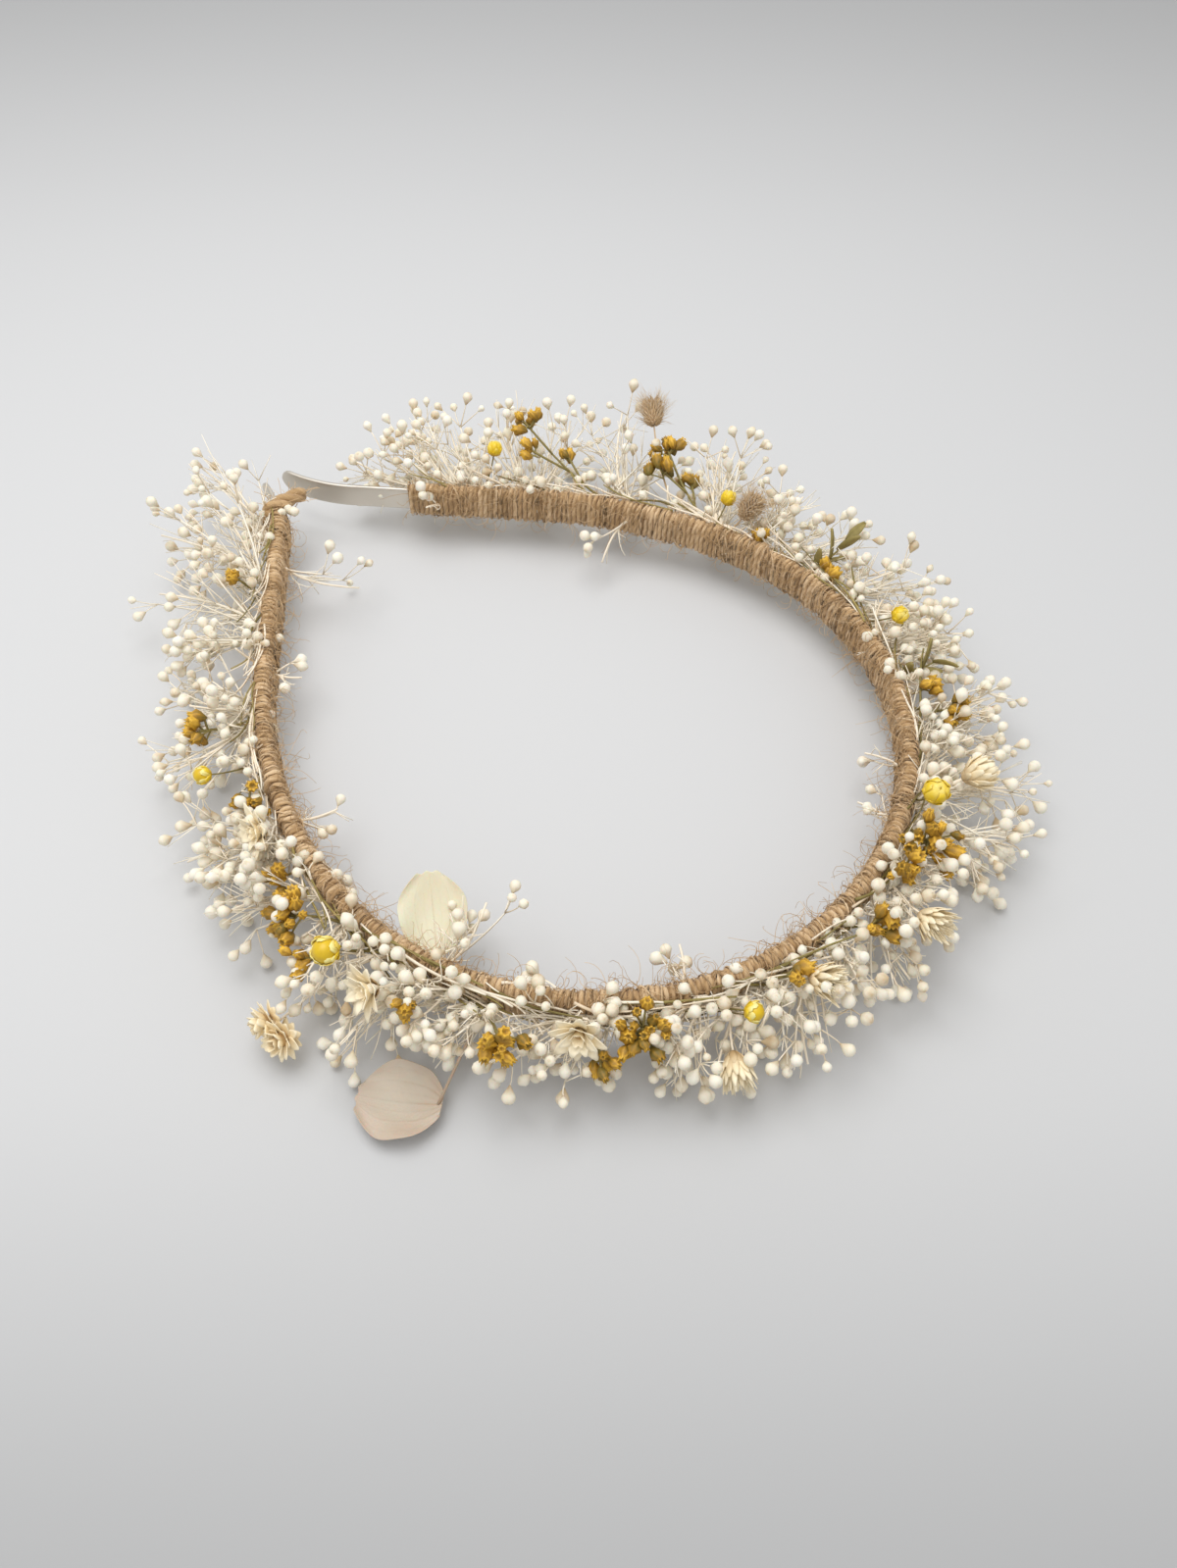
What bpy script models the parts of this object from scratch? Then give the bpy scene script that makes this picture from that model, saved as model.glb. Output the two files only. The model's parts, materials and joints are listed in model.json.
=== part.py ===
"""Dried-flower headband: a sprung steel strip wound with jute twine, with sprigs of
gypsophila, mustard buttons, yellow buds, strawflowers and hydrangea petals along it.

The band lies on its side: its plane is XY, +Y runs from the crown to the two tips, +Z is
up, and +X is the side whose steel end is left bare. The origin is the middle of the inner
face of the wrap at the crown. Every place on the band is a signed distance along the
steel strip's centreline from the crown's middle, positive towards the bare end.
"""
import math
from collections import namedtuple

import bmesh
import bpy
from mathutils import Matrix, Vector

# The steel strip's centreline, from the crown's middle to each tip
CROWN_RADIUS = 0.054
CROWN_ANGLE = math.radians(100.0)
SIDE_RADIUS = 0.086
SIDE_ANGLE = math.radians(30.0)
STRAIGHT_RUN = 0.039
FLARE_RADIUS = 0.031
FLARE_RUN = 0.0167

# Steel strip and the twine wound round it
STRIP_WIDTH = 0.005
STRIP_THICKNESS = 0.0009
STRIP_EDGE = 0.0002
TWINE_WALL = 0.0009
FIT_GAP = 0.0003
BARE_END = 0.028
TIED_TIP = 0.005
TAIL_RADIUS = 0.0015

# The two places where the strip springs open
HINGE_ALONG = 0.050
ARM_OPENING = math.radians(25.0)

# Flowers
STEM_RADIUS = 0.0005
BRANCH_RADIUS = 0.0004
BUD_RADIUS = 0.0019
SPRAY_SPREAD = 0.0042
BUTTON_RADIUS = 0.0021
BUTTON_SPREAD = 0.0026
YELLOW_RADIUS = 0.0022
STRAWFLOWER_RADIUS = 0.0040
PETAL_LENGTH = 0.013
PETAL_WIDTH = 0.011
LEAF_THICKNESS = 0.0006
GRASS_LENGTH = 0.010
GRASS_RADIUS = 0.0024

# Rings along a swept piece stand about this far apart
RING_STEP = 0.0062

WRAP_THICKNESS = STRIP_THICKNESS + 2.0 * (FIT_GAP + TWINE_WALL)
WRAP_WIDTH = STRIP_WIDTH + 2.0 * (FIT_GAP + TWINE_WALL)
HALF_LENGTH = CROWN_RADIUS * CROWN_ANGLE + SIDE_RADIUS * SIDE_ANGLE + STRAIGHT_RUN + FLARE_RUN
BARE_WRAP_END = HALF_LENGTH - BARE_END
TIED_WRAP_END = HALF_LENGTH - TIED_TIP
GOLDEN_TURN = math.radians(137.5)

# Each sprig: the body it is bound to, its share of the way along that body's wrap, then
# its lean from straight outward towards the bare end and its lift towards +Z, in degrees,
# its reach in millimetres, and the turn of its head about its own stem in degrees.
Sprig = namedtuple("Sprig", "body share lean lift reach turn")

GYPSOPHILA = [
    Sprig("tied_arm", 0.95, -50, 15, 25, 0),
    Sprig("tied_arm", 0.86, -15, 0, 27, 40),
    Sprig("tied_arm", 0.76, -12, -12, 24, 0),
    Sprig("tied_arm", 0.66, 0, 25, 16, 30),
    Sprig("tied_arm", 0.60, -15, -14, 20, 0),
    Sprig("tied_arm", 0.51, 8, 2, 20, 20),
    Sprig("tied_arm", 0.42, -5, -17, 20, 50),
    Sprig("tied_arm", 0.32, -5, 5, 18, 0),
    Sprig("tied_arm", 0.13, -12, -17, 19, 0),
    Sprig("crown", -0.80, -5, -22, 14, 0),
    Sprig("crown", -0.56, -20, -5, 16, 30),
    Sprig("crown", -0.20, -22, -18, 18, 0),
    Sprig("crown", -0.10, -30, 15, 15, 60),
    Sprig("crown", 0.08, -5, -18, 17, 0),
    Sprig("crown", 0.36, -5, -15, 21, 0),
    Sprig("crown", 0.62, 0, -8, 22, 40),
    Sprig("crown", 0.82, -6, -21, 15, 0),
    Sprig("bare_arm", 0.09, 8, -5, 17, 0),
    Sprig("bare_arm", 0.20, -15, 15, 20, 0),
    Sprig("bare_arm", 0.30, -10, -14, 21, 0),
    Sprig("bare_arm", 0.44, 0, 10, 26, 0),
    Sprig("bare_arm", 0.60, 0, -10, 26, 0),
    Sprig("bare_arm", 0.74, 0, 12, 28, 0),
    Sprig("bare_arm", 0.90, 15, -12, 25, 0),
]

MUSTARD = [
    Sprig("tied_arm", 0.56, 10, 30, 12, 0),
    Sprig("tied_arm", 0.46, 55, 38, 12, 0),
    Sprig("tied_arm", 0.26, -15, 30, 12, 0),
    Sprig("tied_arm", 0.08, 15, 35, 12, 0),
    Sprig("crown", -0.70, 0, 42, 11, 0),
    Sprig("crown", -0.32, 25, 50, 11, 0),
    Sprig("crown", 0.20, -55, 45, 12, 0),
    Sprig("crown", 0.42, -50, 42, 13, 0),
    Sprig("crown", 0.89, -25, 35, 13, 0),
    Sprig("bare_arm", 0.50, 30, 20, 18, 0),
    Sprig("bare_arm", 0.67, 55, 20, 20, 0),
]

YELLOW_BUDS = [
    Sprig("tied_arm", 0.50, 20, 40, 13, 0),
    Sprig("tied_arm", 0.20, 15, 50, 13, 0),
    Sprig("crown", -0.52, 30, 40, 11, 0),
    Sprig("crown", 0.52, -45, 60, 11, 0),
    Sprig("bare_arm", 0.14, -40, 50, 11, 0),
    Sprig("bare_arm", 0.47, -10, 55, 9, 0),
    Sprig("bare_arm", 0.86, -10, 50, 11, 0),
]

STRAWFLOWERS = [
    Sprig("tied_arm", 0.39, 25, 50, 9, 0),
    Sprig("tied_arm", 0.22, -8, -4, 17, 0),
    Sprig("tied_arm", 0.15, -5, 42, 10, 0),
    Sprig("crown", -0.42, -10, 0, 9, 0),
    Sprig("crown", 0.22, 10, 14, 12, 0),
    Sprig("crown", 0.60, 15, 32, 9, 0),
]

GRASS_HEAD = Sprig("bare_arm", 0.59, 20, 36, 20, 0)
LEAF_SPRIG = Sprig("bare_arm", 0.26, -5, 45, 11, 0)
OUTER_PETAL = Sprig("tied_arm", 0.05, -12, -5, 8, 0)
INNER_PETAL = Sprig("tied_arm", 0.16, 172, 12, 1, 0)

# The three bodies: the stretch of the band that each takes, as signed distances
BODY_SIDE = {"crown": 0, "bare_arm": 1, "tied_arm": -1}

COLOURS = {
    "steel": ((0.52, 0.50, 0.46), 0.30, 1.0),
    "jute": ((0.42, 0.25, 0.12), 0.90, 0.0),
    "gypsophila": ((0.84, 0.80, 0.68), 0.80, 0.0),
    "mustard": ((0.46, 0.24, 0.02), 0.85, 0.0),
    "yellow": ((0.83, 0.55, 0.01), 0.60, 0.0),
    "cream": ((0.76, 0.64, 0.40), 0.70, 0.0),
    "petal": ((0.80, 0.76, 0.58), 0.60, 0.0),
    "grass": ((0.68, 0.52, 0.33), 0.90, 0.0),
    "olive": ((0.22, 0.20, 0.06), 0.80, 0.0),
}


def clear_scene():
    for old in list(bpy.data.objects):
        bpy.data.objects.remove(old, do_unlink=True)


def make_materials():
    made = {}
    for name, (colour, roughness, metallic) in COLOURS.items():
        material = bpy.data.materials.new(name)
        material.use_nodes = True
        shader = material.node_tree.nodes["Principled BSDF"]
        shader.inputs["Base Color"].default_value = (*colour, 1.0)
        shader.inputs["Roughness"].default_value = roughness
        shader.inputs["Metallic"].default_value = metallic
        made[name] = material
    return made


def centreline(distance):
    """Point and heading of the strip at a distance of zero or more from the crown."""
    x, y, heading = 0.0, 0.0, 0.0
    arcs = (
        (CROWN_RADIUS, CROWN_RADIUS * CROWN_ANGLE),
        (SIDE_RADIUS, SIDE_RADIUS * SIDE_ANGLE),
        (None, STRAIGHT_RUN),
        (-FLARE_RADIUS, 2.0 * FLARE_RUN),
    )
    for radius, run in arcs:
        step = min(distance, run)
        if radius is None:
            x += step * math.cos(heading)
            y += step * math.sin(heading)
        else:
            turned = heading + step / radius
            x += radius * (math.sin(turned) - math.sin(heading))
            y += radius * (math.cos(heading) - math.cos(turned))
            heading = turned
        distance -= step
        if distance <= 0.0:
            break
    return x, y, heading


def crown_face_depth():
    """How far the wrap's flat middle facet lies inside the strip's centreline."""
    half_facet = 0.5 * crown_wrap_end() * 2.0 / CROWN_FACETS
    inner_radius = CROWN_RADIUS - 0.5 * WRAP_THICKNESS
    return CROWN_RADIUS - inner_radius * math.cos(half_facet / CROWN_RADIUS)


def joint_gap(thickness):
    """Gap across a hinge that closes without touching when an arm opens fully."""
    return thickness * math.tan(0.5 * ARM_OPENING) + FIT_GAP


def crown_wrap_end():
    return HINGE_ALONG - 0.5 * joint_gap(WRAP_THICKNESS)


def odd_count(length):
    return 2 * int(0.5 * length / RING_STEP) + 1


CROWN_FACETS = odd_count(2.0 * crown_wrap_end())
ORIGIN_SHIFT = crown_face_depth()


def band_frame(along):
    """Centre, and unit vectors along the band, up and outward, at a signed distance."""
    side = -1.0 if along < 0.0 else 1.0
    x, y, heading = centreline(abs(along))
    centre = Vector((side * x, y - ORIGIN_SHIFT, 0.0))
    forward = Vector((math.cos(heading), side * math.sin(heading), 0.0))
    outward = Vector((side * math.sin(heading), -math.cos(heading), 0.0))
    return centre, forward, Vector((0.0, 0.0, 1.0)), outward


def on_band(along, out, up):
    centre, _, upward, outward = band_frame(along)
    return centre + outward * out + upward * up


def hinge_point(side):
    return band_frame(side * HINGE_ALONG)[0]


def make_arm_pivots():
    pivots = {}
    for body, side in BODY_SIDE.items():
        if side == 0:
            continue
        pivot = bpy.data.objects.new(body + "_pivot", None)
        pivot.location = hinge_point(side)
        bpy.context.scene.collection.objects.link(pivot)
        pivots[body] = pivot
    return pivots


def add_object(name, bm, material, pivot=None, matrix=None):
    """Put a bmesh in the scene as one named object, at a world matrix, under its pivot."""
    bmesh.ops.recalc_face_normals(bm, faces=bm.faces)
    mesh = bpy.data.meshes.new(name)
    bm.to_mesh(mesh)
    bm.free()
    mesh.materials.append(material)
    mesh.shade_smooth()
    mesh.set_sharp_from_angle(angle=math.radians(40.0))
    thing = bpy.data.objects.new(name, mesh)
    bpy.context.scene.collection.objects.link(thing)
    place = matrix if matrix is not None else Matrix.Identity(4)
    if pivot is None:
        thing.matrix_world = place
    else:
        thing.parent = pivot
        thing.matrix_basis = Matrix.Translation(-pivot.location) @ place
    return thing


def chamfered_box(thickness, width, edge):
    """Section corners as (out, up), with each corner cut across at 45 degrees."""
    a, b = 0.5 * thickness, 0.5 * width
    return [
        (a, -b + edge), (a, b - edge), (a - edge, b), (-a + edge, b),
        (-a, b - edge), (-a, -b + edge), (-a + edge, -b), (a - edge, -b),
    ]


def ring(bm, along, section):
    return [bm.verts.new(on_band(along, out, up)) for out, up in section]


def join_rings(bm, first, second):
    count = len(first)
    for i in range(count):
        j = (i + 1) % count
        bm.faces.new((first[i], first[j], second[j], second[i]))


def stations(start, end, count):
    return [start + (end - start) * i / count for i in range(count + 1)]


def arm_stations(start, end):
    """Ring places from a hinge outwards, with the straight run ended exactly."""
    bends = [
        CROWN_RADIUS * CROWN_ANGLE,
        CROWN_RADIUS * CROWN_ANGLE + SIDE_RADIUS * SIDE_ANGLE,
        HALF_LENGTH - FLARE_RUN,
    ]
    marks = [start] + [bend for bend in bends if start < bend < end] + [end]
    places = [start]
    for low, high in zip(marks, marks[1:]):
        count = max(1, round((high - low) / RING_STEP))
        places += stations(low, high, count)[1:]
    return places


def strip_section(tip_distance):
    """The strip's section, narrowed inside the half circle that rounds its tip."""
    half = 0.5 * STRIP_WIDTH
    width = STRIP_WIDTH
    if tip_distance < half:
        width = 2.0 * math.sqrt(half ** 2 - (half - tip_distance) ** 2)
    return chamfered_box(STRIP_THICKNESS, width, STRIP_EDGE)


def make_strip(name, places, rounded, material, pivot=None):
    bm = bmesh.new()
    rings = []
    for place in places:
        tip_distance = HALF_LENGTH - abs(place) if rounded else STRIP_WIDTH
        rings.append(ring(bm, place, strip_section(tip_distance)))
    for first, second in zip(rings, rings[1:]):
        join_rings(bm, first, second)
    bm.faces.new(rings[0])
    bm.faces.new(rings[-1])
    return add_object(name, bm, material, pivot)


def make_wrap(name, places, material, pivot=None):
    """A sleeve of wound twine, open at both ends, round the strip with a fit gap."""
    outer = chamfered_box(WRAP_THICKNESS, WRAP_WIDTH, TWINE_WALL)
    inner_thickness = STRIP_THICKNESS + 2.0 * FIT_GAP
    inner_width = STRIP_WIDTH + 2.0 * FIT_GAP
    inner = chamfered_box(inner_thickness, inner_width, STRIP_EDGE)
    bm = bmesh.new()
    outer_rings = [ring(bm, place, outer) for place in places]
    inner_rings = [ring(bm, place, inner) for place in places]
    for rings in (outer_rings, inner_rings):
        for first, second in zip(rings, rings[1:]):
            join_rings(bm, first, second)
    join_rings(bm, outer_rings[0], inner_rings[0])
    join_rings(bm, outer_rings[-1], inner_rings[-1])
    return add_object(name, bm, material, pivot)


def make_band(materials, pivots):
    crown_strip = HINGE_ALONG - 0.5 * joint_gap(STRIP_THICKNESS)
    crown_wrap = crown_wrap_end()
    facets = CROWN_FACETS
    make_strip("steel_band_crown", stations(-crown_strip, crown_strip, facets), False, materials["steel"])
    make_wrap("jute_wrap_crown", stations(-crown_wrap, crown_wrap, facets), materials["jute"])
    for body, wrap_end in (("bare_arm", BARE_WRAP_END), ("tied_arm", TIED_WRAP_END)):
        side = BODY_SIDE[body]
        strip_start = HINGE_ALONG + 0.5 * joint_gap(STRIP_THICKNESS)
        wrap_start = HINGE_ALONG + 0.5 * joint_gap(WRAP_THICKNESS)
        half = 0.5 * STRIP_WIDTH
        places = arm_stations(strip_start, HALF_LENGTH - half)
        places += [HALF_LENGTH - half * left for left in (0.6, 0.3, 0.1)]
        strip_places = [side * place for place in places]
        wrap_places = [side * place for place in arm_stations(wrap_start, wrap_end)]
        make_strip("steel_band_" + body, strip_places, True, materials["steel"], pivots[body])
        make_wrap("jute_wrap_" + body, wrap_places, materials["jute"], pivots[body])


def make_tail(materials, pivot):
    """The doubled end of the twine, knotted past the wrap and turned in over the strip."""
    past_wrap = TIED_WRAP_END + FIT_GAP + TAIL_RADIUS
    beside = 0.5 * STRIP_THICKNESS + FIT_GAP + TAIL_RADIUS + 0.0001
    over = 0.5 * STRIP_WIDTH + FIT_GAP + TAIL_RADIUS + 0.0001
    route = [
        (past_wrap + 0.0003, beside, -0.0010),
        (past_wrap + 0.0003, beside, 0.0020),
        (past_wrap + 0.0006, 0.45 * beside, over + 0.0002),
        (past_wrap + 0.0012, -0.35 * beside, over + 0.0008),
        (past_wrap + 0.0022, -0.0036, over + 0.0006),
        (past_wrap + 0.0030, -0.0058, over + 0.0001),
    ]
    curve = bpy.data.curves.new("jute_tail_knot", "CURVE")
    curve.dimensions = "3D"
    curve.bevel_depth = TAIL_RADIUS
    curve.bevel_resolution = 2
    curve.use_fill_caps = True
    spline = curve.splines.new("POLY")
    spline.points.add(len(route) - 1)
    for point, (along, out, up) in zip(spline.points, route):
        point.co = (*on_band(-along, out, up), 1.0)
    curve.materials.append(materials["jute"])
    tail = bpy.data.objects.new("jute_tail_knot", curve)
    bpy.context.scene.collection.objects.link(tail)
    tail.parent = pivot
    tail.location = -pivot.location


def sprig_matrix(sprig):
    """World matrix of a sprig: origin at its foot, local +Z along its stem."""
    side = BODY_SIDE[sprig.body]
    if side == 0:
        along = sprig.share * crown_wrap_end()
    else:
        end = BARE_WRAP_END if side > 0 else TIED_WRAP_END
        along = side * (HINGE_ALONG + sprig.share * (end - HINGE_ALONG))
    centre, forward, upward, outward = band_frame(along)
    seat = 0.5 * WRAP_THICKNESS + FIT_GAP + STEM_RADIUS
    if abs(sprig.lean) > 90.0:
        seat = -seat
    axes = Matrix((forward, upward, outward)).transposed().to_4x4()
    lean = Matrix.Rotation(math.radians(sprig.lean), 4, "Y")
    lift = Matrix.Rotation(math.radians(-sprig.lift), 4, "X")
    turn = Matrix.Rotation(math.radians(sprig.turn), 4, "Z")
    foot = Matrix.Translation(centre + outward * seat)
    return foot @ axes @ lean @ lift @ turn


def new_ball(radius, centre, flatness=1.0, detail=1):
    bm = bmesh.new()
    bmesh.ops.create_icosphere(bm, subdivisions=detail, radius=radius)
    bmesh.ops.scale(bm, vec=(1.0, 1.0, flatness), verts=bm.verts)
    bmesh.ops.translate(bm, vec=centre, verts=bm.verts)
    return bm


def new_rod(start, end, start_radius, end_radius, sides=5):
    start, end = Vector(start), Vector(end)
    bm = bmesh.new()
    bmesh.ops.create_cone(
        bm, cap_ends=True, segments=sides,
        radius1=start_radius, radius2=end_radius, depth=(end - start).length,
    )
    aim = (end - start).to_track_quat("Z", "Y").to_matrix().to_4x4()
    bmesh.ops.transform(bm, matrix=Matrix.Translation((start + end) / 2) @ aim, verts=bm.verts)
    return bm


def new_stem(reach):
    return new_rod((0, 0, 0), (0, 0, reach), STEM_RADIUS, BRANCH_RADIUS, sides=6)


def fuse(name, sprig, stem, pieces, material, pivots):
    """One closed body: the stem with every other piece joined to it by a Boolean union."""
    whole = add_object(name, stem, material, pivots.get(sprig.body), sprig_matrix(sprig))
    group = bpy.data.collections.new(name + "_pieces")
    bpy.context.scene.collection.children.link(group)
    for number, bm in enumerate(pieces):
        bmesh.ops.recalc_face_normals(bm, faces=bm.faces)
        mesh = bpy.data.meshes.new(name)
        bm.to_mesh(mesh)
        bm.free()
        cutter = bpy.data.objects.new(f"{name}_piece_{number}", mesh)
        cutter.hide_render = True
        cutter.display_type = "WIRE"
        cutter.parent = whole
        group.objects.link(cutter)
    union = whole.modifiers.new("union", "BOOLEAN")
    union.operation = "UNION"
    union.solver = "EXACT"
    union.operand_type = "COLLECTION"
    union.collection = group
    return whole


def make_gypsophila(number, sprig, materials, pivots):
    """A forked stem with a bunch of buds gathered into four lobes."""
    reach = sprig.reach / 1000.0
    heights = (1.0, 0.84, 0.74, 0.64)
    spreads = (0.0, 0.9, 1.0, 0.85)
    pieces = []
    for i, (height, spread) in enumerate(zip(heights, spreads)):
        angle = i * GOLDEN_TURN
        radial = spread * SPRAY_SPREAD
        centre = Vector((radial * math.cos(angle), radial * math.sin(angle), height * reach))
        pieces.append(new_ball(BUD_RADIUS, centre))
        if radial > 0.0:
            fork = Vector((0.0, 0.0, centre.z - 1.1 * radial))
            pieces.append(new_rod(fork, centre, BRANCH_RADIUS, BRANCH_RADIUS, sides=4))
    name = f"gypsophila_spray_{number:02d}"
    fuse(name, sprig, new_stem(reach), pieces, materials["gypsophila"], pivots)


def make_mustard(number, sprig, materials, pivots):
    """A flat-topped head of four button flowers on short forks."""
    reach = sprig.reach / 1000.0
    pieces = [new_ball(BUTTON_RADIUS, (0, 0, reach), 0.85)]
    for i in range(3):
        angle = i * math.tau / 3.0
        drop = 0.0012 + 0.0010 * i
        centre = Vector((BUTTON_SPREAD * math.cos(angle), BUTTON_SPREAD * math.sin(angle), reach - drop))
        fork = Vector((0.0, 0.0, centre.z - BUTTON_SPREAD))
        pieces.append(new_ball(BUTTON_RADIUS, centre, 0.85))
        pieces.append(new_rod(fork, centre, BRANCH_RADIUS, BRANCH_RADIUS, sides=4))
    name = f"mustard_sprig_{number:02d}"
    fuse(name, sprig, new_stem(reach), pieces, materials["mustard"], pivots)


def make_yellow_bud(number, sprig, materials, pivots):
    reach = sprig.reach / 1000.0
    bm = bmesh.new()
    bmesh.ops.create_uvsphere(bm, u_segments=10, v_segments=6, radius=YELLOW_RADIUS)
    bmesh.ops.translate(bm, vec=(0, 0, reach), verts=bm.verts)
    name = f"yellow_bud_{number:02d}"
    fuse(name, sprig, new_stem(reach), [bm], materials["yellow"], pivots)


def make_strawflower(number, sprig, materials, pivots):
    """A cup of bracts, turned from a profile that runs from the stem over the rim."""
    reach = sprig.reach / 1000.0
    radius = STRAWFLOWER_RADIUS
    profile = ((0.20, -0.50), (0.85, 0.05), (1.00, 0.45), (0.55, 0.50))
    bm = bmesh.new()
    sides = 10
    rings = []
    for out, up in profile:
        level = reach + radius * up
        turned = [Vector((radius * out, 0.0, level)) for _ in range(sides)]
        for i, point in enumerate(turned):
            point.rotate(Matrix.Rotation(i * math.tau / sides, 3, "Z"))
        rings.append([bm.verts.new(point) for point in turned])
    for first, second in zip(rings, rings[1:]):
        join_rings(bm, first, second)
    bm.faces.new(rings[0])
    bm.faces.new(rings[-1])
    name = f"strawflower_{number:02d}"
    fuse(name, sprig, new_stem(reach), [bm], materials["cream"], pivots)


def new_blade(length, width, cupping, start):
    """A thin leaf or petal in the local XZ plane, its base at start and bowed along Y."""
    bm = bmesh.new()
    rows = 6
    outline = []
    for i in range(rows + 1):
        part = (i + 0.25) / (rows + 0.5)
        outline.append((part, 0.5 * width * math.sin(math.pi * part) ** 0.7))
    half = 0.5 * LEAF_THICKNESS
    rings = []
    for part, reach_x in outline:
        bow = cupping * math.sin(math.pi * part)
        corners = ((-reach_x, -half), (0.0, -half), (reach_x, -half), (reach_x, half), (0.0, half), (-reach_x, half))
        points = []
        for x, thick in corners:
            side_bow = bow * (1.0 - (x / width) ** 2)
            points.append(Vector((x, thick + side_bow, part * length)) + Vector(start))
        rings.append([bm.verts.new(point) for point in points])
    for first, second in zip(rings, rings[1:]):
        join_rings(bm, first, second)
    bm.faces.new(rings[0])
    bm.faces.new(rings[-1])
    return bm


def make_petal(name, sprig, materials, pivots):
    reach = sprig.reach / 1000.0
    blade = new_blade(PETAL_LENGTH, PETAL_WIDTH, 0.0012, (0, 0, reach - 0.0010))
    fuse(name, sprig, new_stem(reach), [blade], materials["petal"], pivots)


def make_leaves(materials, pivots):
    reach = LEAF_SPRIG.reach / 1000.0
    pieces = []
    for angle, base in ((-35.0, 0.3), (0.0, 0.75), (35.0, 0.5)):
        blade = new_blade(0.0060, 0.0022, 0.0004, (0, 0, 0))
        swing = Matrix.Rotation(math.radians(angle), 4, "Y")
        place = Matrix.Translation((0, 0, base * reach)) @ swing
        bmesh.ops.transform(blade, matrix=place, verts=blade.verts)
        pieces.append(blade)
    fuse("olive_leaf_sprig", LEAF_SPRIG, new_stem(reach), pieces, materials["olive"], pivots)


def make_grass(materials, pivots):
    reach = GRASS_HEAD.reach / 1000.0
    plume = new_ball(GRASS_RADIUS, (0, 0, 0), 0.5 * GRASS_LENGTH / GRASS_RADIUS, detail=2)
    bmesh.ops.translate(plume, vec=(0, 0, reach), verts=plume.verts)
    fuse("bunny_grass_head", GRASS_HEAD, new_stem(reach), [plume], materials["grass"], pivots)


def main():
    clear_scene()
    materials = make_materials()
    pivots = make_arm_pivots()
    make_band(materials, pivots)
    make_tail(materials, pivots["tied_arm"])
    for number, sprig in enumerate(GYPSOPHILA, 1):
        make_gypsophila(number, sprig, materials, pivots)
    for number, sprig in enumerate(MUSTARD, 1):
        make_mustard(number, sprig, materials, pivots)
    for number, sprig in enumerate(YELLOW_BUDS, 1):
        make_yellow_bud(number, sprig, materials, pivots)
    for number, sprig in enumerate(STRAWFLOWERS, 1):
        make_strawflower(number, sprig, materials, pivots)
    make_grass(materials, pivots)
    make_leaves(materials, pivots)
    make_petal("hydrangea_petal_outer", OUTER_PETAL, materials, pivots)
    make_petal("hydrangea_petal_inner", INNER_PETAL, materials, pivots)


main()
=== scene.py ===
"""Looks of the dried-flower headband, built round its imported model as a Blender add-on."""
import json
import math
from collections import namedtuple

import bmesh
import bpy
import numpy as np
from bpy.props import FloatProperty, FloatVectorProperty, IntProperty, PointerProperty
from mathutils import Matrix, Vector

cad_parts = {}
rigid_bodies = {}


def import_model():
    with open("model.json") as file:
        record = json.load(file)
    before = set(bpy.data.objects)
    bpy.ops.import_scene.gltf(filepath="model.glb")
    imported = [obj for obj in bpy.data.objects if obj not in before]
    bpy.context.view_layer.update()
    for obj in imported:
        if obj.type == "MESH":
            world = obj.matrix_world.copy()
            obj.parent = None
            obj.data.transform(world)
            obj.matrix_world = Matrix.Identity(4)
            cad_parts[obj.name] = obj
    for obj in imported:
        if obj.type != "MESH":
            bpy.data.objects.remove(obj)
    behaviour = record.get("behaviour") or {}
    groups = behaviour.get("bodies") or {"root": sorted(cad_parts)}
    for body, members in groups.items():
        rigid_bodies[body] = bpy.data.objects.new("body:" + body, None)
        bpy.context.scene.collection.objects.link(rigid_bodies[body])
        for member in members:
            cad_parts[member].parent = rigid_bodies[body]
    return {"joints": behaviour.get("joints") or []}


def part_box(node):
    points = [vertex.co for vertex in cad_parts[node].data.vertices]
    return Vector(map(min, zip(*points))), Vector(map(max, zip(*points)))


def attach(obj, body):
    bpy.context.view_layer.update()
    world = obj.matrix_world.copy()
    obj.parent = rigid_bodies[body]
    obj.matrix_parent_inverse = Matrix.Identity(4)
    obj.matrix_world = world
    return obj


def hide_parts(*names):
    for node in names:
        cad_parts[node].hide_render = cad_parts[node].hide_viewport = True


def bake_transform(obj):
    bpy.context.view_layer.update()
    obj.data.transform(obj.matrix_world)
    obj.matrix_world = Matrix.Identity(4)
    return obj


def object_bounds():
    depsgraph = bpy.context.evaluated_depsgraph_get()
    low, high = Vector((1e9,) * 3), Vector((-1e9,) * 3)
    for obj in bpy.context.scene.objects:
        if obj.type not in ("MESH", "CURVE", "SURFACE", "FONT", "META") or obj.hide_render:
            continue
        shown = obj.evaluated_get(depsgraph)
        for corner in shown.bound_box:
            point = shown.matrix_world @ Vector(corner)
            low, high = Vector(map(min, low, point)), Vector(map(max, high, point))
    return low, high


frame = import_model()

bl_info = {
    "name": "Dried Flower Headband",
    "version": (1, 0, 0),
    "blender": (4, 5, 0),
    "location": "View3D > Sidebar > Headband",
    "description": "Jute-wound steel headband with sprigs of dried flowers",
    "category": "Add Mesh",
}

# How finely the twine and the stems are drawn: faces round each, and steps in a turn
TWINE_SIDES = 8
TWINE_STEPS = 38
STEM_SIDES = 4

# How many there are of the smallest things that have no size of their own
STRAY_PLIES = 330
LAID_STEMS = 110
TAIL_FIBRES = 70
BUD_FORMS = 9
FLORET_FORMS = 9
BRUSH_FILAMENTS = 46
GRASS_SEEDS = 170

# Thickness of the papery sheets, in metres
BRACT_THICKNESS = 0.00010
PETAL_THICKNESS = 0.00014

# The turn from one head to the next that spreads them evenly
GOLDEN_TURN = math.pi * (3.0 - math.sqrt(5.0))

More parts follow.
